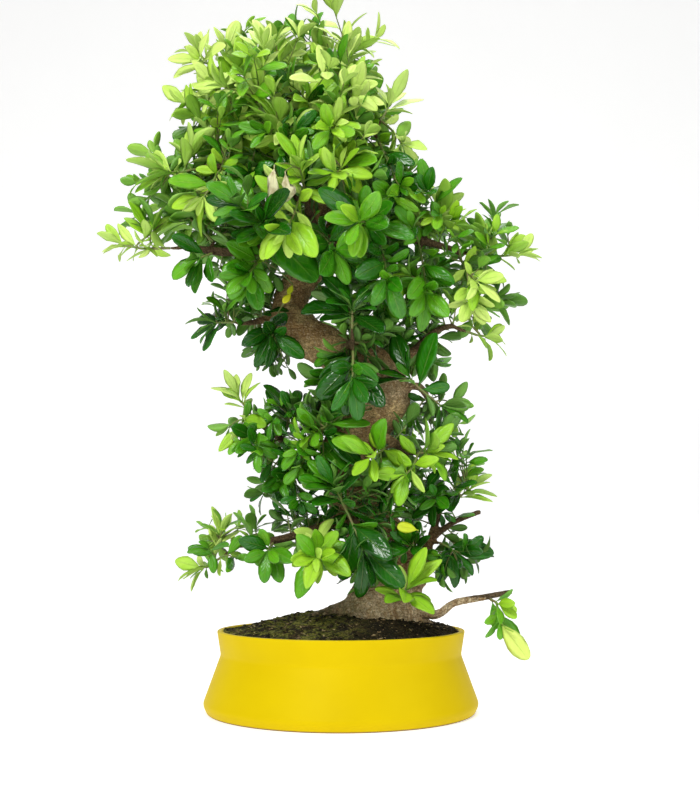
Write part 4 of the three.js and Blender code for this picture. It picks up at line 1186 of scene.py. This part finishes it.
grow_leafy("odd_leaves", odd_stalks, odd_leaves, 0.8, leaf_sizes, "mature_leaves")

# Short shoots: the small leafy twigs that break out all along the older limbs and fill the inside of
# the crown, each with a few leaves along it and a tuft at its end.
# The shoots that end between two heights are one piece.
SHOOT_REGIONS = {
    "crown_top": (520, 700), "crown": (450, 520), "under_crown": (380, 450), "middle": (200, 380), "lower": (0, 200),
}
# Of each round mass of leaves: its middle, its three radii, how many shoots are tried, and its longest leaf.
LEAFY_MASSES = [
    ((-40, 0, 553), (105, 90, 95), 180, 38), ((-31, 0, 466), (126, 100, 72), 200, 35),
    ((93, -5, 402), (67, 60, 68), 86, 31), ((-142, -15, 470), (58, 50, 56), 54, 33),
    ((45, -5, 347), (56, 52, 48), 60, 30), ((-5, 26, 372), (32, 26, 42), 34, 28),
    ((-85, -5, 375), (36, 36, 44), 40, 28), ((-50, 12, 322), (40, 24, 15), 22, 22),
    ((-68, -10, 232), (44, 40, 44), 28, 29), ((-33, -25, 235), (24, 20, 46), 20, 30),
    ((88, -15, 230), (45, 42, 54), 36, 31), ((-29, -20, 168), (38, 26, 26), 22, 27),
    ((-95, -30, 146), (52, 36, 24), 18, 27), ((8, -20, 150), (52, 50, 36), 26, 29),
    ((86, -10, 150), (46, 36, 42), 26, 28), ((20, 25, 215), (46, 40, 60), 24, 29),
    ((13, -48, 333), (24, 16, 36), 30, 32), ((6, -44, 290), (26, 16, 34), 28, 32),
    ((-18, -45, 219), (24, 18, 48), 26, 30), ((21, -44, 184), (34, 18, 26), 18, 30),
    ((25, 60, 265), (44, 34, 40), 22, 29), ((45, 62, 180), (40, 34, 36), 18, 28),
]
# Where the bark of trunk and limbs shows between the leaves: middles across and up, and half widths.
BARE_WOOD = [(-36, 371, 20, 32), (-18, 327, 18, 19), (43, 285, 14, 22), (8, 236, 14, 14), (28, 96, 26, 20)]
SHOOT_REACH = (9, 48)
AT_TIP = 7
SHOOT_SPACING = 9
YOUNG_FROM = 430
YOUNG_SPAN = 300


def hides_bare_wood(point):
    x, y, z = point
    return y < 10 and any(((x - a) / w) ** 2 + ((z - b) / h) ** 2 < 1 for a, b, w, h in BARE_WOOD)


def grow_shoot(line, longest, leaves, chance):
    """Sets one shoot with leaves. It is kept only if some of them find room at its tip."""
    fresh = []
    length = chance.uniform(0.75, 1.1) * longest
    age = "young" if chance.random() < (line[-1][2] - YOUNG_FROM) / YOUNG_SPAN else "mature"
    dress_line(line, age, length, fresh, chance, SHOOT_SPACING)
    tip_cluster(line, age, length, 5, fresh, chance)
    if not any(np.linalg.norm(leaf["root"] - line[-1]) < AT_TIP for leaf in fresh):
        for leaf in fresh:
            room.give_back(leaf)
        return False
    leaves += fresh
    return True


shoots = {region: ([], []) for region in SHOOT_REGIONS}
shoot_sizes = {**leaf_sizes, "Step": 5.0 * MM, "Sides": 5}
chance = random.Random("shoots")
for centre, radii, count, longest in LEAFY_MASSES:
    for _ in range(count):
        way = unit(np.array([chance.gauss(0, 1) for _ in range(3)]))
        end = np.array(centre) + way * np.array(radii) * chance.uniform(0.15, 1) ** 0.5
        _, number, away = skeleton_tree.find(end)
        start = skeleton[number]
        if not SHOOT_REACH[0] < away < SHOOT_REACH[1] or hides_bare_wood(end):
            continue
        sag = np.array([0, 0, chance.uniform(-0.12, 0.12)]) * away
        line = [start, (start + end) / 2 + sag, end]
        region = next(r for r, (low, high) in SHOOT_REGIONS.items() if low <= end[2] < high)
        if grow_shoot(line, longest, shoots[region][1], chance):
            shoots[region][0].append(line)
for region, (lines, leaves) in shoots.items():
    grow_leafy("shoots_" + region, lines, leaves, 0.9, shoot_sizes, "mature_leaves")
bpy.data.objects.remove(template)

# Staging: a plain pale floor that curves up behind, soft studio light, and the camera of the photo.
FLOOR_WIDTH = 6.0
FLOOR_FRONT = -2.5
FLOOR_BACK = 2.2
WALL_HEIGHT = 3.5
BEND_RADIUS = 0.9
BEND_STEPS = 12
CAMERA_PLACE = (0.008, -1.020, 0.155)
CAMERA_TILT = 6.8
CAMERA_PIXELS = 1123
PICTURE_HEIGHT = 800
SENSOR = 36
PAPER_GREY = (0.86, 0.86, 0.85, 1)
PAPER_WHITE = (0.9, 0.9, 0.89, 1)
PAPER_GLOW = 0.45
SURROUND_LIGHT = 0.27


def paint_paper(tree, where):
    return {"Base Color": tree.mixed(tree.noise(where, 3, 2), PAPER_GREY, PAPER_WHITE)}


section = [(FLOOR_FRONT, 0)]
for k in range(BEND_STEPS + 1):
    angle = math.pi / 2 * k / BEND_STEPS
    section.append((FLOOR_BACK + BEND_RADIUS * math.sin(angle), BEND_RADIUS * (1 - math.cos(angle))))
section.append((FLOOR_BACK + BEND_RADIUS, WALL_HEIGHT))
backdrop_points = [(x * FLOOR_WIDTH / 2, y, z) for y, z in section for x in (-1, 1)]
backdrop_faces = [(2 * k, 2 * k + 1, 2 * k + 3, 2 * k + 2) for k in range(len(section) - 1)]
paper = new_finish("pale_paper", paint_paper, Emission_Color=(1, 1, 1, 1), Emission_Strength=PAPER_GLOW)
backdrop = new_piece("backdrop", backdrop_points, backdrop_faces, paper)


def add_softbox(name, place, aim, size, watts):
    lamp = bpy.data.lights.new(name, "AREA")
    lamp.shape = "DISK"
    lamp.size = size
    lamp.energy = watts
    softbox = new_object(name, lamp)
    softbox.location = place
    softbox.rotation_euler = (Vector(aim) - Vector(place)).to_track_quat("-Z", "Y").to_euler()


add_softbox("key", (-0.7, -1.6, 1.6), (0, 0, 0.35), 0.9, 37)
add_softbox("fill", (1.5, -1.1, 0.9), (0, 0, 0.3), 1.4, 9)
add_softbox("top", (0.1, 0.5, 2.0), (0, 0, 0.3), 1.4, 18)
world = bpy.data.worlds.new("studio")
world.use_nodes = True
surround = world.node_tree.nodes["Background"].inputs
surround["Color"].default_value = (1, 1, 1, 1)
surround["Strength"].default_value = SURROUND_LIGHT
bpy.context.scene.world = world
bpy.context.scene.view_settings.view_transform = "Standard"

lens = bpy.data.cameras.new("camera")
lens.sensor_width = SENSOR
lens.lens = CAMERA_PIXELS * SENSOR / PICTURE_HEIGHT
camera = new_object("camera", lens)
camera.location = CAMERA_PLACE
camera.rotation_euler = (math.radians(90 + CAMERA_TILT), 0, 0)
bpy.context.scene.camera = camera
